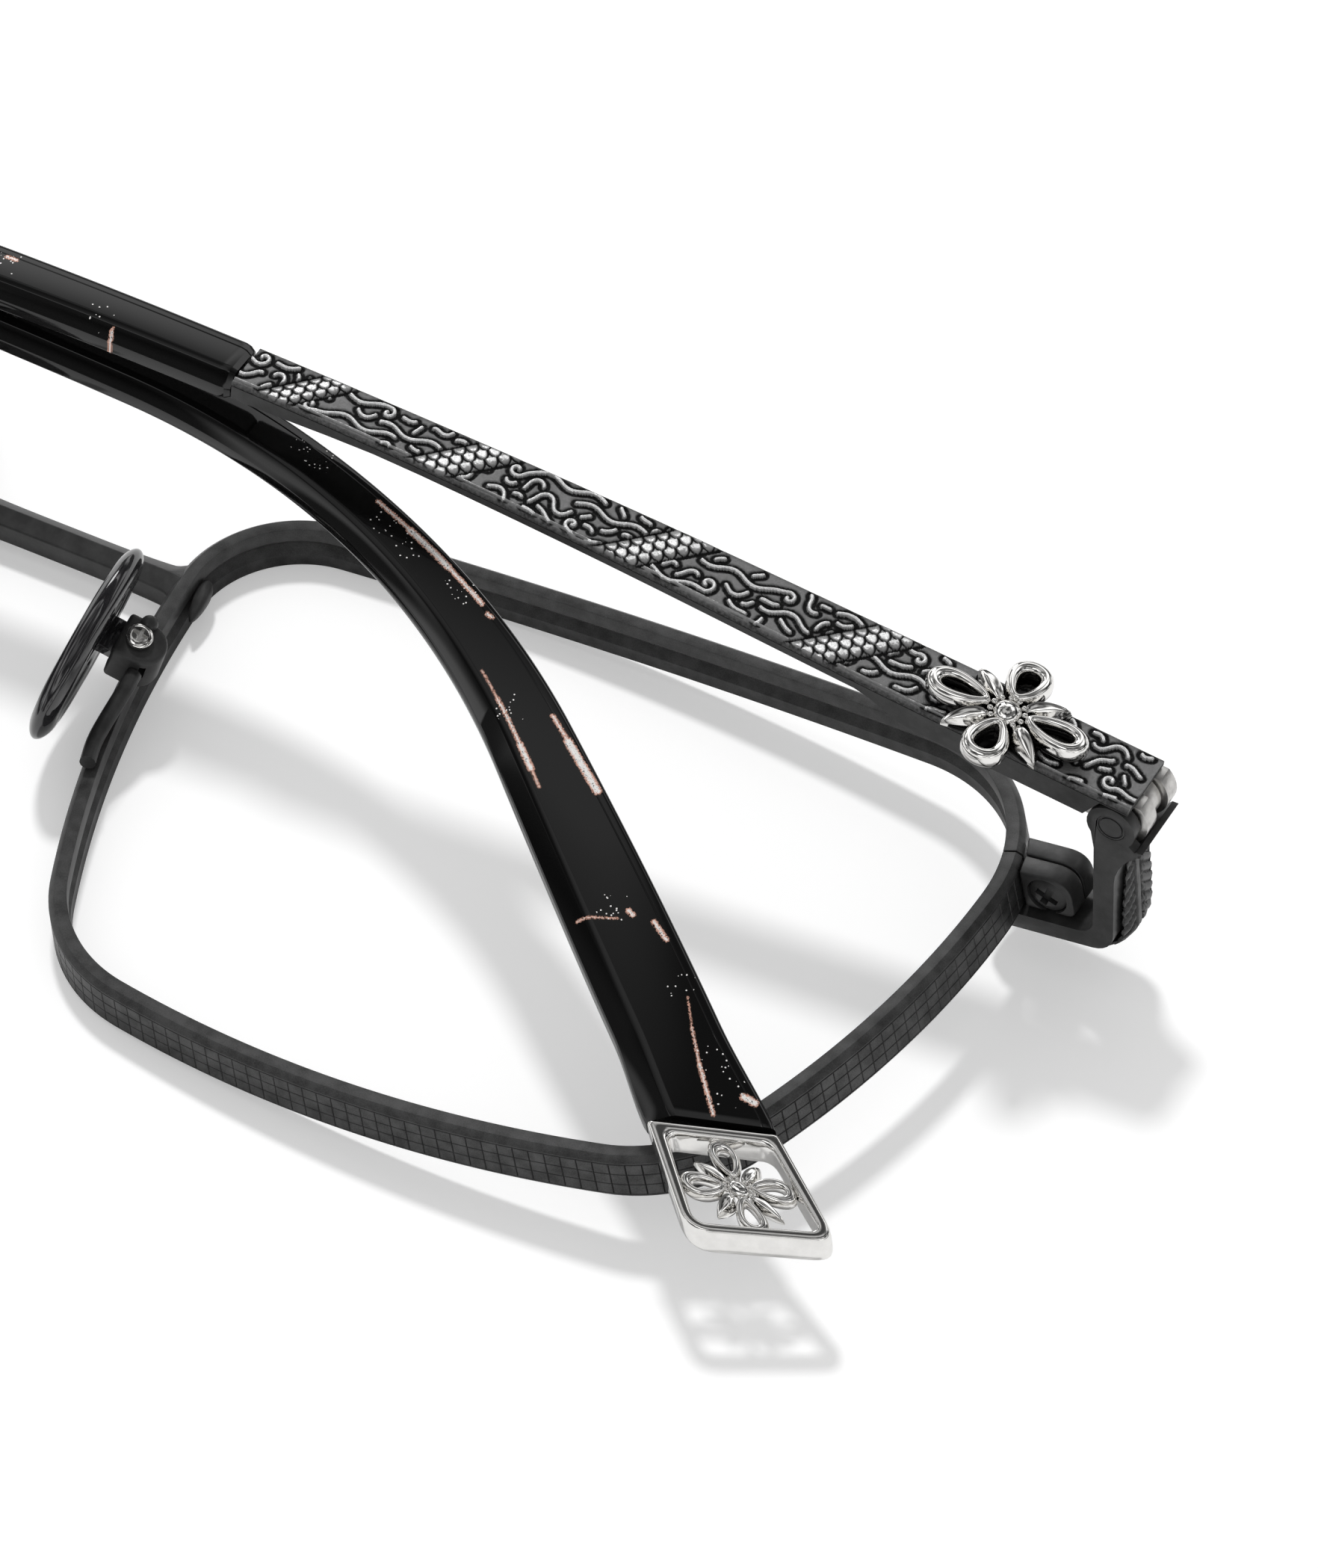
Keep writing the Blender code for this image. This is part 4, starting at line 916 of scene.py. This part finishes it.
# Ornaments: four open loops on the axes, four fluted leaves between them, and a beaded dome
ornamentLook = {
    "loopSpan": (0.30, 0.99), "loopWidth": 0.26, "wire": 0.085, "loopCells": (56, 16),
    "leafSpan": (0.22, 0.90), "leafWidth": 0.15, "leafCells": (26, 14),
    "dome": 0.21, "domeCells": (40, 10), "beads": 12, "beadSize": 0.045, "beadCells": (12, 8),
    # the plate's share of its outline and of the height, from its underside up to its middle
    "plateCells": (96, 6), "plateReach": (0.0, 0.98, 1.0, 1.0, 0.98, 0.5, 0.0),
    "plateLift": (0.0, 0.0, 0.05, 0.22, 0.27, 0.27, 0.27),
    "templePlace": (7.6, -0.5), "templeSize": (9.0, 7.0, 1.3), "templeSeat": 0.2,
    "capInset": 0.4, "capHeight": 0.9, "capDepth": 1.2,
}


def ornamentMesh(name, length, width, height, place, withPlate):
    look = ornamentLook
    middle = 0.25 * (length + width)
    parts = []

    def addPart(cells, shape, *heading):
        def put(i, j):
            x, y, z, carve = shape(i, j, *heading)
            return place(x, y, z), {"carve": carve}

        parts.append(gridMesh("part", cells, put, 75.0))

    def stretched(radius, sideways, angle):
        # from a spoke's own directions to the oval
        x = (radius * math.cos(angle) - sideways * math.sin(angle)) * 0.5 * length
        y = (radius * math.sin(angle) + sideways * math.cos(angle)) * 0.5 * width
        return x, y

    def loop(i, j, heading):
        # a drop of wire: wide outside, pointed towards the middle
        path, turn = turnOnce * i / look["loopCells"][0], turnOnce * j / look["loopCells"][1]
        towards = np.cos(turn) * look["wire"] * (1.0 + 0.25 * np.cos(path))
        radius = between(look["loopSpan"], 0.5 * (1.0 + np.cos(path)))
        sideways = look["loopWidth"] * np.sin(path) * (0.5 + 0.5 * np.cos(0.5 * path) ** 2)
        x, y = stretched(radius - towards * np.cos(path), sideways - towards * np.sin(path), heading)
        z = height * (0.48 + 0.47 * np.sign(np.sin(turn)) * np.abs(np.sin(turn)) ** 0.7)
        # the wire is lighter on its top, a painted highlight, and darker below, a painted shade
        return x, y, z, 0.25 + 0.75 * np.clip(z / height * 1.3 - 0.2, 0.0, 1.0)

    def leaf(i, j, heading):
        share, turn = i / look["leafCells"][0], turnOnce * j / look["leafCells"][1]
        wide = look["leafWidth"] * np.sin(math.pi * share ** 0.75) ** 0.8 + 0.002
        x, y = stretched(between(look["leafSpan"], share), wide * np.cos(turn), heading)
        flute = 0.20 * np.cos(3.0 * math.pi * np.cos(turn)) * (np.sin(turn) > 0.05)
        lift = 0.15 + 0.62 * np.maximum(0.0, np.sin(turn)) ** 0.6 * np.sin(math.pi * share ** 0.6) ** 0.5
        low = np.where(np.sin(turn) < 0.0, 0.06, lift * (1.0 + flute))
        # the flute troughs are darker, a painted shade
        return x, y, height * low, np.clip(0.75 + 1.5 * flute, 0.1, 1.0)

    def dome(i, j):
        turn, rise = turnOnce * i / look["domeCells"][0], 0.5 * math.pi * j / look["domeCells"][1]
        radius = look["dome"] * np.cos(rise)
        # the dome lightens towards its top, a painted highlight
        return (radius * np.cos(turn) * middle, radius * np.sin(turn) * middle,
                height * (0.45 + 0.55 * np.sin(rise)), 0.4 + 0.6 * np.sin(rise))

    def bead(i, j, heading):
        turn, rise = turnOnce * i / look["beadCells"][0], math.pi * (j / look["beadCells"][1] - 0.5)
        size = look["beadSize"] * middle
        reach = (look["dome"] + 0.75 * look["beadSize"]) * middle
        # each bead lightens towards its top, a painted highlight
        return (reach * math.cos(heading) + size * np.cos(rise) * np.cos(turn),
                reach * math.sin(heading) + size * np.cos(rise) * np.sin(turn),
                0.62 * height + size * np.sin(rise), 0.8 + 0.2 * np.sin(rise))

    def plate(i, j):
        turn = turnOnce * i / look["plateCells"][0]
        wave = np.cos(4.0 * turn)
        edge = 0.60 + np.where(wave > 0.0, 0.36 * np.abs(wave) ** 0.6, 0.24 * np.abs(wave) ** 2.2)
        reach = edge * np.array(look["plateReach"])[j]
        x, y = stretched(reach * np.cos(turn), reach * np.sin(turn), 0.0)
        return x, y, height * np.array(look["plateLift"])[j], 0.0 * reach

    for spoke in range(4):
        addPart(look["loopCells"], loop, 0.5 * math.pi * spoke)
    for spoke in range(4):
        addPart(look["leafCells"], leaf, 0.5 * math.pi * spoke + 0.25 * math.pi)
    addPart(look["domeCells"], dome)
    for k in range(look["beads"]):
        addPart(look["beadCells"], bead, turnOnce * (k + 0.5) / look["beads"])
    if withPlate:
        addPart(look["plateCells"], plate)
    return joinMeshes(name, parts)


def addTempleOrnament(side):
    tag, name = side[1], "templeOrnament-" + side[1]
    along, aside = ornamentLook["templePlace"]
    base = float(topHeight(along)) + ornamentLook["templeSeat"]

    def place(x, y, z):
        return onTemple(side, along + x, aside + y, base + z)

    mesh = ornamentMesh(name, *ornamentLook["templeSize"], place, True)
    showPiece(mesh, name, tag + "_temple", "aged_silver", "aged", "temple_rosette_" + tag)


def addCapOrnament(side):
    tag, name = side[1], "capOrnament-" + side[1]
    look, inset = templeLook, 2.0 * capLook["margin"]
    length = look["capLength"] - inset - ornamentLook["capInset"]
    width = look["tipWidths"][3] + look["capFlare"] - inset - ornamentLook["capInset"]
    middle = look["tipEnd"] + 0.5 * (look["capLength"] + look["capGap"])
    shear = 0.5 * (look["nearShear"] + look["farShear"])

    def place(x, y, z):
        return capPoint(side, middle + x + shear * y, y, ornamentLook["capDepth"] - z)

    mesh = ornamentMesh(name, length, width, ornamentLook["capHeight"], place, False)
    showPiece(mesh, name, tag + "_temple", "aged_silver", "aged", "cap_rosette_" + tag)


for side in sides:
    addTempleOrnament(side)
    addCapOrnament(side)
print("ornaments are set")


# Rims: satin wire with three rows of brushed tiles round its outer wall
rimLook = {
    "centre": 36.06, "sideRadii": (211.0, 75.2, 90.7, 52.0),
    "corners": ((16.57, 1.31, 11.58), (-20.96, 5.53, 7.25), (-12.36, -14.44, 10.38), (15.48, -15.15, 9.13)),
    "split": 4.8, "slit": 0.15, "wall": 1.08, "depth": 2.93, "lensGroove": (0.4, 1.1),
    "tilePitch": 0.93, "groove": 0.05, "grooveSlope": 0.045, "engraving": 0.055,
    "rows": (0.28, 1.03, 1.78), "rowHeight": 0.66, "wrapStart": 11.2, "wrapRate": 0.001575,
}


def onFront(x, y, depth, sign):
    # from the flat front, in mm, to the one that wraps round the face
    look = rimLook
    edge = look["centre"] + look["corners"][0][0] + look["corners"][0][2]
    reach = np.clip(np.abs(x), look["wrapStart"], edge) - look["wrapStart"]
    beyond = np.maximum(0.0, np.abs(x) - edge)
    height = look["wrapRate"] * (reach ** 2 + 2.0 * (edge - look["wrapStart"]) * beyond)
    lean = np.arctan(2.0 * look["wrapRate"] * reach)
    return np.stack([sign * (x - depth * np.sin(lean)), y + datumY + 0.0 * depth, height + depth * np.cos(lean)],
                    axis=-1)


def angleTo(origin, target):
    return math.atan2(target[1] - origin[1], target[0] - origin[0])


def rimArcs():
    # centre, radius, first and last angle of each arc, anticlockwise from one side of the split to the other
    look = rimLook
    corners = [(look["centre"] + x, y, radius) for x, y, radius in look["corners"]]
    split = math.asin((look["split"] - corners[0][1]) / corners[0][2])
    halfSlit = 0.5 * look["slit"] / corners[0][2]
    start = split + halfSlit
    arcs = []
    for i, (first, radius) in enumerate(zip(corners, look["sideRadii"])):
        second = corners[(i + 1) % 4]
        gap = Vector((second[0] - first[0], second[1] - first[1]))
        near, far = radius - first[2], radius - second[2]
        along = (near * near - far * far + gap.length_squared) / (2.0 * gap.length)
        across = math.sqrt(near * near - along * along)
        unit = gap.normalized()
        middle = (first[0] + unit.x * along - unit.y * across, first[1] + unit.y * along + unit.x * across,
                  radius)
        turn, end = angleTo(middle, first), angleTo(middle, second)
        arcs += [first + (start, turn), middle + (turn, end)]
        start = end
    arcs.append(corners[0] + (start, split - halfSlit))
    return np.array([arc if arc[4] >= arc[3] else arc[:4] + (arc[4] + turnOnce,) for arc in arcs])


def rimSection():
    # (inset from the outer wall, depth behind the front, carve, 1 where the tile columns cut it)
    look = rimLook
    wall, depth, cut, slope = look["wall"], look["depth"], look["engraving"], look["grooveSlope"]
    middle, deep, half = 0.5 * depth, look["lensGroove"][0], 0.5 * look["lensGroove"][1]
    front = [(wall, 0.06), (wall - 0.06, 0.0), (0.22, 0.0), (0.07, 0.06), (0.0, 0.19)]
    tiles = []
    # the grooves between the rows take a carve of 0, which paints them with near-black shade
    for row in look["rows"]:
        end = row + look["rowHeight"]
        tiles += [(cut, row - slope, 0.0, 0)] + [(0.0, spot, 0.5, 1) for spot in (row, 0.5 * (row + end), end)]
    tiles.append((cut, end + slope, 0.0, 0))
    back = [(0.0, end + 0.10), (0.0, depth - 0.33), (0.03, depth - 0.27), (0.29, depth - 0.03), (0.33, depth),
            (wall - 0.07, depth), (wall - 0.02, depth - 0.02), (wall, depth - 0.08), (wall, middle + half),
            (wall - deep, middle), (wall, middle - half)]
    return np.array([spot + (1.0, 0) for spot in front] + tiles + [spot + (1.0, 0) for spot in back])


def addRim(side):
    sign, tag, lift = side
    look = rimLook
    arcs = rimArcs()
    lengths = arcs[:, 2] * (arcs[:, 4] - arcs[:, 3])
    ends = np.cumsum(lengths)
    columns = int(round(ends[-1] / look["tilePitch"]))
    pitch = ends[-1] / columns
    stops = []
    for k in range(columns):
        stops += [k * pitch, k * pitch + look["groove"], (k + 0.5) * pitch, (k + 1) * pitch - look["groove"]]
    stops = np.array(stops + [ends[-1]])
    ring = rimSection()

    def place(i, j):
        travel = stops[i]
        which = np.minimum(np.searchsorted(ends, travel, side="right"), len(ends) - 1)
        x, y, radius, start, _ = arcs[which].T
        angle = start + (travel - (ends - lengths)[which]) / radius
        inset, depth, carve, tiled = ring[j % len(ring)].T
        # a column groove's carve of 0 gives it the near-black painted shade
        inGroove = (i % 4 == 0) & (tiled > 0.5)
        reach = radius - (inset + np.where(inGroove, look["engraving"], 0.0))
        points = onFront(x + np.cos(angle) * reach, y + np.sin(angle) * reach, depth, sign)
        return points, {"carve": np.where(inGroove, 0.0, carve)}

    gridPiece("engravedRim-" + tag, (len(stops) - 1, len(ring)), place, 24.0, "front", "satin_black_metal",
              "engraved", "rim_" + tag)


for side in sides:
    addRim(side)
print("rims are engraved")


# Front fittings: CAD pieces with softened edges, as (body, slot, finish, width of the edge)
softLook = {
    "endpiece": ("front", "satin_black_metal", "satin", 0.10),
    "hinge_knuckle": ("front", "bare_steel", "steel", 0.05),
    "hinge_leaf": ("{}_temple", "bare_steel", "steel", 0.05),
}
for sign, tag, lift in sides:
    for piece, (body, slotName, finish, width) in softLook.items():
        softNode(piece + "_" + tag, body.format(tag), slotName, finish, width)
print("fittings have soft edges")


# Bridge: a ridged bar that flares into the rims where it is welded
bridgeLook = {"y": 4.6, "front": 0.8, "half": 0.9, "depth": 2.1, "ridge": 0.3, "cells": 60, "sink": 0.35,
              "flareFrom": 0.84, "flare": 0.55, "spread": 0.35, "thicken": 0.10, "axis": 0.7,
              "heights": (0.2, 2.9), "soft": (0.25, 0.25, 0.12, 0.08, 0.12)}


def addBridge():
    look = bridgeLook
    half, low = look["half"], look["front"]
    high = low + look["depth"]
    side = high - 2.0 * look["ridge"]
    corners = [Vector(spot) for spot in ((-half, low), (half, low), (half, side), (0.0, high), (-half, side))]
    ring = []
    for n, (here, size) in enumerate(zip(corners, look["soft"])):
        before = (corners[n - 1] - here).normalized() * size + here
        after = (corners[(n + 1) % 5] - here).normalized() * size + here
        ring += softCorner(before, here, after, 4)
    ring = np.array(ring)
    cornerX, cornerY, radius = rimLook["corners"][1]
    middle = low + look["axis"]

    def place(i, j):
        share = 2.0 * i / look["cells"] - 1.0
        offset, z = ring[j % len(ring)].T
        weld = easeTo(np.abs(share), look["flareFrom"], 1.0, 0.0, 1.0) ** 1.5
        y = look["y"] + offset * (1.0 + look["spread"] * share ** 4 + look["flare"] * weld)
        z = np.clip(middle + (z - middle) * (1.0 + look["thicken"] * weld), *look["heights"])
        endX = rimLook["centre"] + cornerX - np.sqrt((radius - look["sink"]) ** 2 - (y - cornerY) ** 2)
        return np.stack([share * endX, y + datumY, z], axis=-1), {}

    gridPiece("bridgeBar", (look["cells"], len(ring)), place, 30.0, "front", "satin_black_metal", "satin",
              "bridge")


addBridge()
print("bridge is welded on")


# End-piece covers: feather barbs cut on both sides of a quill
coverLook = {"cuts": 7, "barb": 0.76, "slant": 0.9, "depth": 0.26, "quill": 0.24, "quillEdge": 0.10,
             "middle": 5.1}


def addCover(side):
    sign, tag, lift = side
    look = coverLook
    bm = nodeCopy("endpiece_cover_" + tag, 0.5)
    bmesh.ops.triangulate(bm, faces=[face for face in bm.faces if len(face.verts) > 4])
    bmesh.ops.subdivide_edges(bm, edges=bm.edges, cuts=look["cuts"], use_grid_fill=True)
    bmesh.ops.recalc_face_normals(bm, faces=bm.faces)
    bm.normal_update()
    layer = bm.verts.layers.float.new("carve")
    normals = [vertex.normal.copy() for vertex in bm.verts]
    for vertex, normal in zip(bm.verts, normals):
        x, y, z = vertex.co / mm
        aside = abs(y - datumY - look["middle"])
        run = (sign * x + z + look["slant"] * aside) / look["barb"]
        ridge = 1.0 - abs(2.0 * (run - math.floor(run)) - 1.0) ** 3
        if aside < look["quill"] + look["quillEdge"]:
            ridge = 1.0 if aside < look["quill"] else 0.0
        # the carve is 0 in a barb's groove, a painted shade, and a half on its crest, where the tile colour is a
        # painted highlight
        vertex[layer] = 0.5 * ridge
        vertex.co += normal * (ridge - 1.0) * look["depth"] * mm
    showPiece(toMesh(bm, "featherCover-" + tag), "featherCover-" + tag, "front", "carved_gunmetal", "engraved",
              "endpiece_cover_" + tag)


for side in sides:
    addCover(side)
print("end-piece covers are carved")


# Closing blocks: two halves with a round outer end, and a screw seat on the chin side
lockLook = {
    "low": 3.42, "split": 4.8, "slit": 0.13, "high": 6.1, "length": 3.6, "front": 0.2, "back": 2.8,
    "backRound": 1.35, "frontRound": 0.5, "gap": 0.2, "soft": 0.11,
    "bore": [(-3.0, 0.0), (-3.0, 0.68), (5.0, 0.68), (5.0, 0.0)],
    "seat": [(-1.0, 0.0), (-1.0, 1.22), (0.42, 1.22), (0.42, 0.0)],
    "screw": [(0.0, 0.0), (0.0, 0.62), (0.05, 0.84), (0.13, 1.0), (0.20, 1.13), (0.36, 1.15), (0.40, 1.13),
              (0.42, 0.60)],
    "cross": (0.68, 0.42, 0.36),
}
upward = (0, 1, 0)


def addLock(side):
    sign, tag, lift = side
    look = lockLook
    middleX, middleY, radius = rimLook["corners"][0]
    front, back = look["front"], look["back"]
    frontRound, backRound = look["frontRound"], look["backRound"]
    head = nodeCentre("lock_screw_" + tag)

    def rimEdge(y, gap):
        return rimLook["centre"] + middleX + math.sqrt((radius + gap) ** 2 - (y - middleY) ** 2)

    outerX = rimEdge(look["split"], 0.0) + look["length"]
    halfSlit = 0.5 * look["slit"]
    for name, low, high in (("lower", look["low"], look["split"] - halfSlit),
                            ("upper", look["split"] + halfSlit, look["high"])):
        rings = []
        for y in (low, high):
            innerX = rimEdge(y, look["gap"])
            outline = [(innerX, back), (innerX, front)]
            outline += softCorner((outerX - frontRound, front), (outerX, front), (outerX, front + frontRound), 5)
            outline += softCorner((outerX, back - backRound), (outerX, back), (outerX - backRound, back), 10)
            x, depth = np.array(outline).T
            rings.append(onFront(x, y + 0.0 * x, depth, sign))
        mesh = prismMesh("lockBlock", rings, look["soft"])
        mesh = cutMesh(mesh, turnedMesh("screwBore", look["bore"], head, upward, 32))
        if name == "lower":
            face = Vector((head.x, look["low"] + datumY, head.z))
            mesh = cutMesh(mesh, turnedMesh("screwSeat", look["seat"], face, upward))
        showPiece(mesh, "lockBlock-" + name + "-" + tag, "front", "satin_black_metal", "satin",
                  "lock_" + name + "_" + tag)


def addLockScrew(tag):
    node = "lock_screw_" + tag
    low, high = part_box(node)
    middle, length = nodeCentre(node), (high[1] - low[1]) / mm
    face = Vector((middle.x, low[1] / mm, middle.z))
    profile = lockLook["screw"] + [(length, lockLook["screw"][-1][1]), (length, 0.0)]
    mesh = cutMesh(turnedMesh("lockScrew", profile, face, upward),
                   crossMesh(face, upward, *lockLook["cross"]))
    showPiece(mesh, "lockScrew-" + tag, "front", "black_screw", "satin", node)


pinLook = {"reach": 2.15, "profile": [(0.02, 0.0), (0.02, 0.66), (0.10, 0.69), (0.10, 0.74), (0.02, 0.77),
                                      (0.02, 0.85), (0.35, 0.85), (0.35, 0.55), (4.35, 0.55), (4.35, 0.0)]}


def addPin(tag):
    face = hinges[tag + "_temple"] / mm - Vector((0.0, pinLook["reach"], 0.0))
    mesh = turnedMesh("hingePin", pinLook["profile"], face, upward)
    showPiece(mesh, "hingePin-" + tag, "front", "black_screw", "satin", "hinge_pin_" + tag)


# Nose pads: a dished pad with a tab, held by a screw in a cup at the end of its arm
padLook = {
    "centre": (8.15, -4.95, 6.1), "length": 13.4, "width": 8.0, "thickness": 2.1, "cells": (120, 60),
    "lean": 22.0, "splay": 5.5, "tilt": 8.4,
    "roundness": 0.55, "egg": 0.12, "dish": 0.30, "dishEdge": (0.62, 0.90),
    "waves": 0.07, "ripple": (10.4, 0.8, 6.2),  # how deep they are, then their count across, bend and count along
    "tab": (2.2, 0.9, 0.7), "tabOffset": 1.1, "tabSoft": 0.08, "play": 0.4,
    "boxDepth": 2.2, "boxBack": 1.75, "boxSoft": 0.26, "boxOuter": 1.2, "boxUnder": 1.9, "boxReach": 0.32,
    "boxWall": 0.11, "pocketRoom": (0.15, 0.45), "bore": [(-4.0, 0.0), (-4.0, 0.46), (4.0, 0.46), (4.0, 0.0)],
    "headRadius": 0.78, "headHeight": 0.42, "headGap": 0.15, "shank": 0.40, "cross": (0.44, 0.17, 0.2),
    "stud": [(-0.6, 0.0), (-0.6, 0.50), (0.25, 0.52), (0.45, 0.46), (0.60, 0.33), (0.68, 0.16), (0.70, 0.0)],
    "studPlace": (1.15, 1.05, 0.1),
}


def padAxes(sign):
    look = padLook
    lean = math.radians(look["lean"])
    splay, tilt = math.tan(math.radians(look["splay"])), math.tan(math.radians(look["tilt"]))
    long = Vector((-sign * splay, 1.0, tilt)).normalized()
    face = Vector((-sign * math.cos(lean), 0.0, math.sin(lean)))
    face = (face - long * face.dot(long)).normalized()
    short = face.cross(long)
    return long, short if short.z > 0.0 else -short, face


def padCentre(sign):
    x, y, z = padLook["centre"]
    return Vector((sign * x, y + datumY, z))


def boxCentre(sign):
    look = padLook
    long, short, face = padAxes(sign)
    behind = 0.5 * look["thickness"] + look["play"] + 0.5 * look["boxDepth"]
    return padCentre(sign) + long * look["tabOffset"] - face * behind


def addPadBox(side):
    # a cup with a rounded back that takes the pad's tab, with a domed stud beside the screw
    sign, tag, lift = side
    look = padLook
    long, short, face = padAxes(sign)
    centre = boxCentre(sign)

    def boxPrism(name, outline, steps, *soft):
        rings = [[centre + long * a + short * b + face * d for a, d in outline] for b in steps]
        return prismMesh(name, rings, *soft)

    reach, front = 0.5 * look["tab"][0] + look["boxReach"], 0.5 * look["boxDepth"]
    back = [(-reach * math.cos(angle), -look["boxBack"] * math.sin(angle) ** 0.8)
            for angle in [math.pi * k / 18 for k in range(19)]]
    mesh = boxPrism("padBox", [(-reach, front)] + back + [(reach, front)], (-look["boxUnder"], look["boxOuter"]),
                    look["boxSoft"], 4)
    sideRoom, backRoom = look["pocketRoom"]
    inner, deep, wide = 0.5 * look["tab"][1] + sideRoom, look["tab"][2] + backRoom, reach - look["boxWall"]
    mesh = cutMesh(mesh, boxPrism("pocket", [(-wide, -deep), (wide, -deep), (wide, 4.0), (-wide, 4.0)],
                                  (-inner, inner)))
    mesh = cutMesh(mesh, turnedMesh("padBore", look["bore"], centre, short, 24))
    a, b, d = look["studPlace"]
    stud = turnedMesh("stud", look["stud"], centre + long * a + short * b - face * d, short, 28)
    showPiece(joinMeshes("padBox-" + tag, [mesh, stud], 35.0), "padBox-" + tag, "front", "satin_black_metal",
              "satin", "pad_box_" + tag)


def addPadScrew(side):
    sign, tag, lift = side
    look = padLook
    short = padAxes(sign)[1]
    centre = boxCentre(sign)
    under, radius, shank = look["boxOuter"] + look["headGap"], look["headRadius"], look["shank"]
    top = under + look["headHeight"]
    profile = [(-look["boxOuter"], 0.0), (-look["boxOuter"], shank), (under, shank), (under, radius - 0.04),
               (under + 0.03, radius), (top - 0.18, radius), (top - 0.08, 0.9 * radius), (top, 0.62 * radius),
               (top, 0.0)]
    mesh = cutMesh(turnedMesh("padScrew", profile, centre, short),
                   crossMesh(centre + short * top, short, *look["cross"]))
    showPiece(mesh, "padScrew-" + tag, "front", "chrome_screw", "silver", "pad_screw_" + tag)


def addNosePad(side):
    sign, tag, lift = side
    look = padLook
    axes = padAxes(sign)
    long, short, face = np.array(axes)
    centre = np.array(padCentre(sign))
    spokes, levels = look["cells"]
    across, bend, along = look["ripple"]

    def place(i, j):
        rise, spin = math.pi * j / levels, turnOnce * i / spokes
        reach = np.sin(rise) ** look["roundness"]
        inside = easeTo(reach, *look["dishEdge"], 1.0, 0.0)
        ripple = np.sin(across * reach * np.sin(spin) + bend * np.sin(along * reach * np.cos(spin)))
        sunk = inside * (look["dish"] + look["waves"] * ripple)
        height = -0.5 * look["thickness"] * np.cos(rise) * (1.0 - sunk)
        oval = np.outer(0.5 * look["length"] * reach * np.cos(spin), long)
        breadth = 0.5 * look["width"] * (1.0 - look["egg"] * np.cos(spin))
        oval += np.outer(breadth * reach * np.sin(spin), short)
        return centre + oval + np.outer(height, face), {}

    pad = gridMesh("nosePad-" + tag, look["cells"], place)
    tabLong, tabShort, root = look["tab"]
    middle = boxCentre(sign) + axes[2] * 0.5 * (look["boxDepth"] - root)
    size = Matrix.Diagonal((tabLong, tabShort, root + look["boxDepth"], 1.0))
    bm = bmesh.new()
    bmesh.ops.create_cube(bm, size=1.0, matrix=Matrix.Scale(mm, 4) @ Matrix.Translation(middle)
                          @ Matrix(axes).transposed().to_4x4() @ size)
    bmesh.ops.bevel(bm, geom=bm.edges, offset=look["tabSoft"] * mm, segments=2, profile=0.5, affect="EDGES",
                    material=-1)
    bmesh.ops.recalc_face_normals(bm, faces=bm.faces)
    bm.from_mesh(pad)
    showPiece(toMesh(bm, pad), "nosePad-" + tag, tag + "_pad", "dark_pad", "pad", "nose_pad_" + tag)


def addPadArm(tag):
    mesh = toMesh(nodeCopy("pad_arm_" + tag, 0.5), "padArm-" + tag, 60.0)
    showPiece(mesh, "padArm-" + tag, "front", "satin_black_metal", "satin", "pad_arm_" + tag)


# Weld drops on the rims' inner walls at their upper nose corners
weldLook = {"place": (9.45, 4.32, 1.60), "size": (1.70, 0.50, 0.58), "lean": 14.0, "taper": 0.35,
            "cells": (28, 20)}


def addWeldDrop(side):
    sign, tag, lift = side
    look = weldLook
    centre = onFront(*[np.array(value) for value in look["place"]], sign)
    lean = math.radians(look["lean"])
    long = np.array((-sign * math.sin(lean), math.cos(lean), 0.0))
    wide = np.array((sign * math.cos(lean), math.sin(lean), 0.0))
    reach, breadth, bulge = look["size"]

    def place(i, j):
        turn, rise = turnOnce * i / look["cells"][0], math.pi * j / look["cells"][1]
        girth = (1.0 + look["taper"] * np.cos(rise)) * np.sin(rise)
        point = np.outer(reach * np.cos(rise), long) + np.outer(breadth * girth * np.cos(turn), wide)
        point[:, 2] += bulge * girth * np.sin(turn)
        return centre + point, {}

    gridPiece("weldDrop-" + tag, look["cells"], place, None, "front", "satin_black_metal", "satin")


for side in sides:
    addLock(side)
    addLockScrew(side[1])
    addPin(side[1])
    addPadBox(side)
    addPadScrew(side)
    addNosePad(side)
    addPadArm(side[1])
    addWeldDrop(side)
print("closing blocks, screws, pads and pad arms are made")
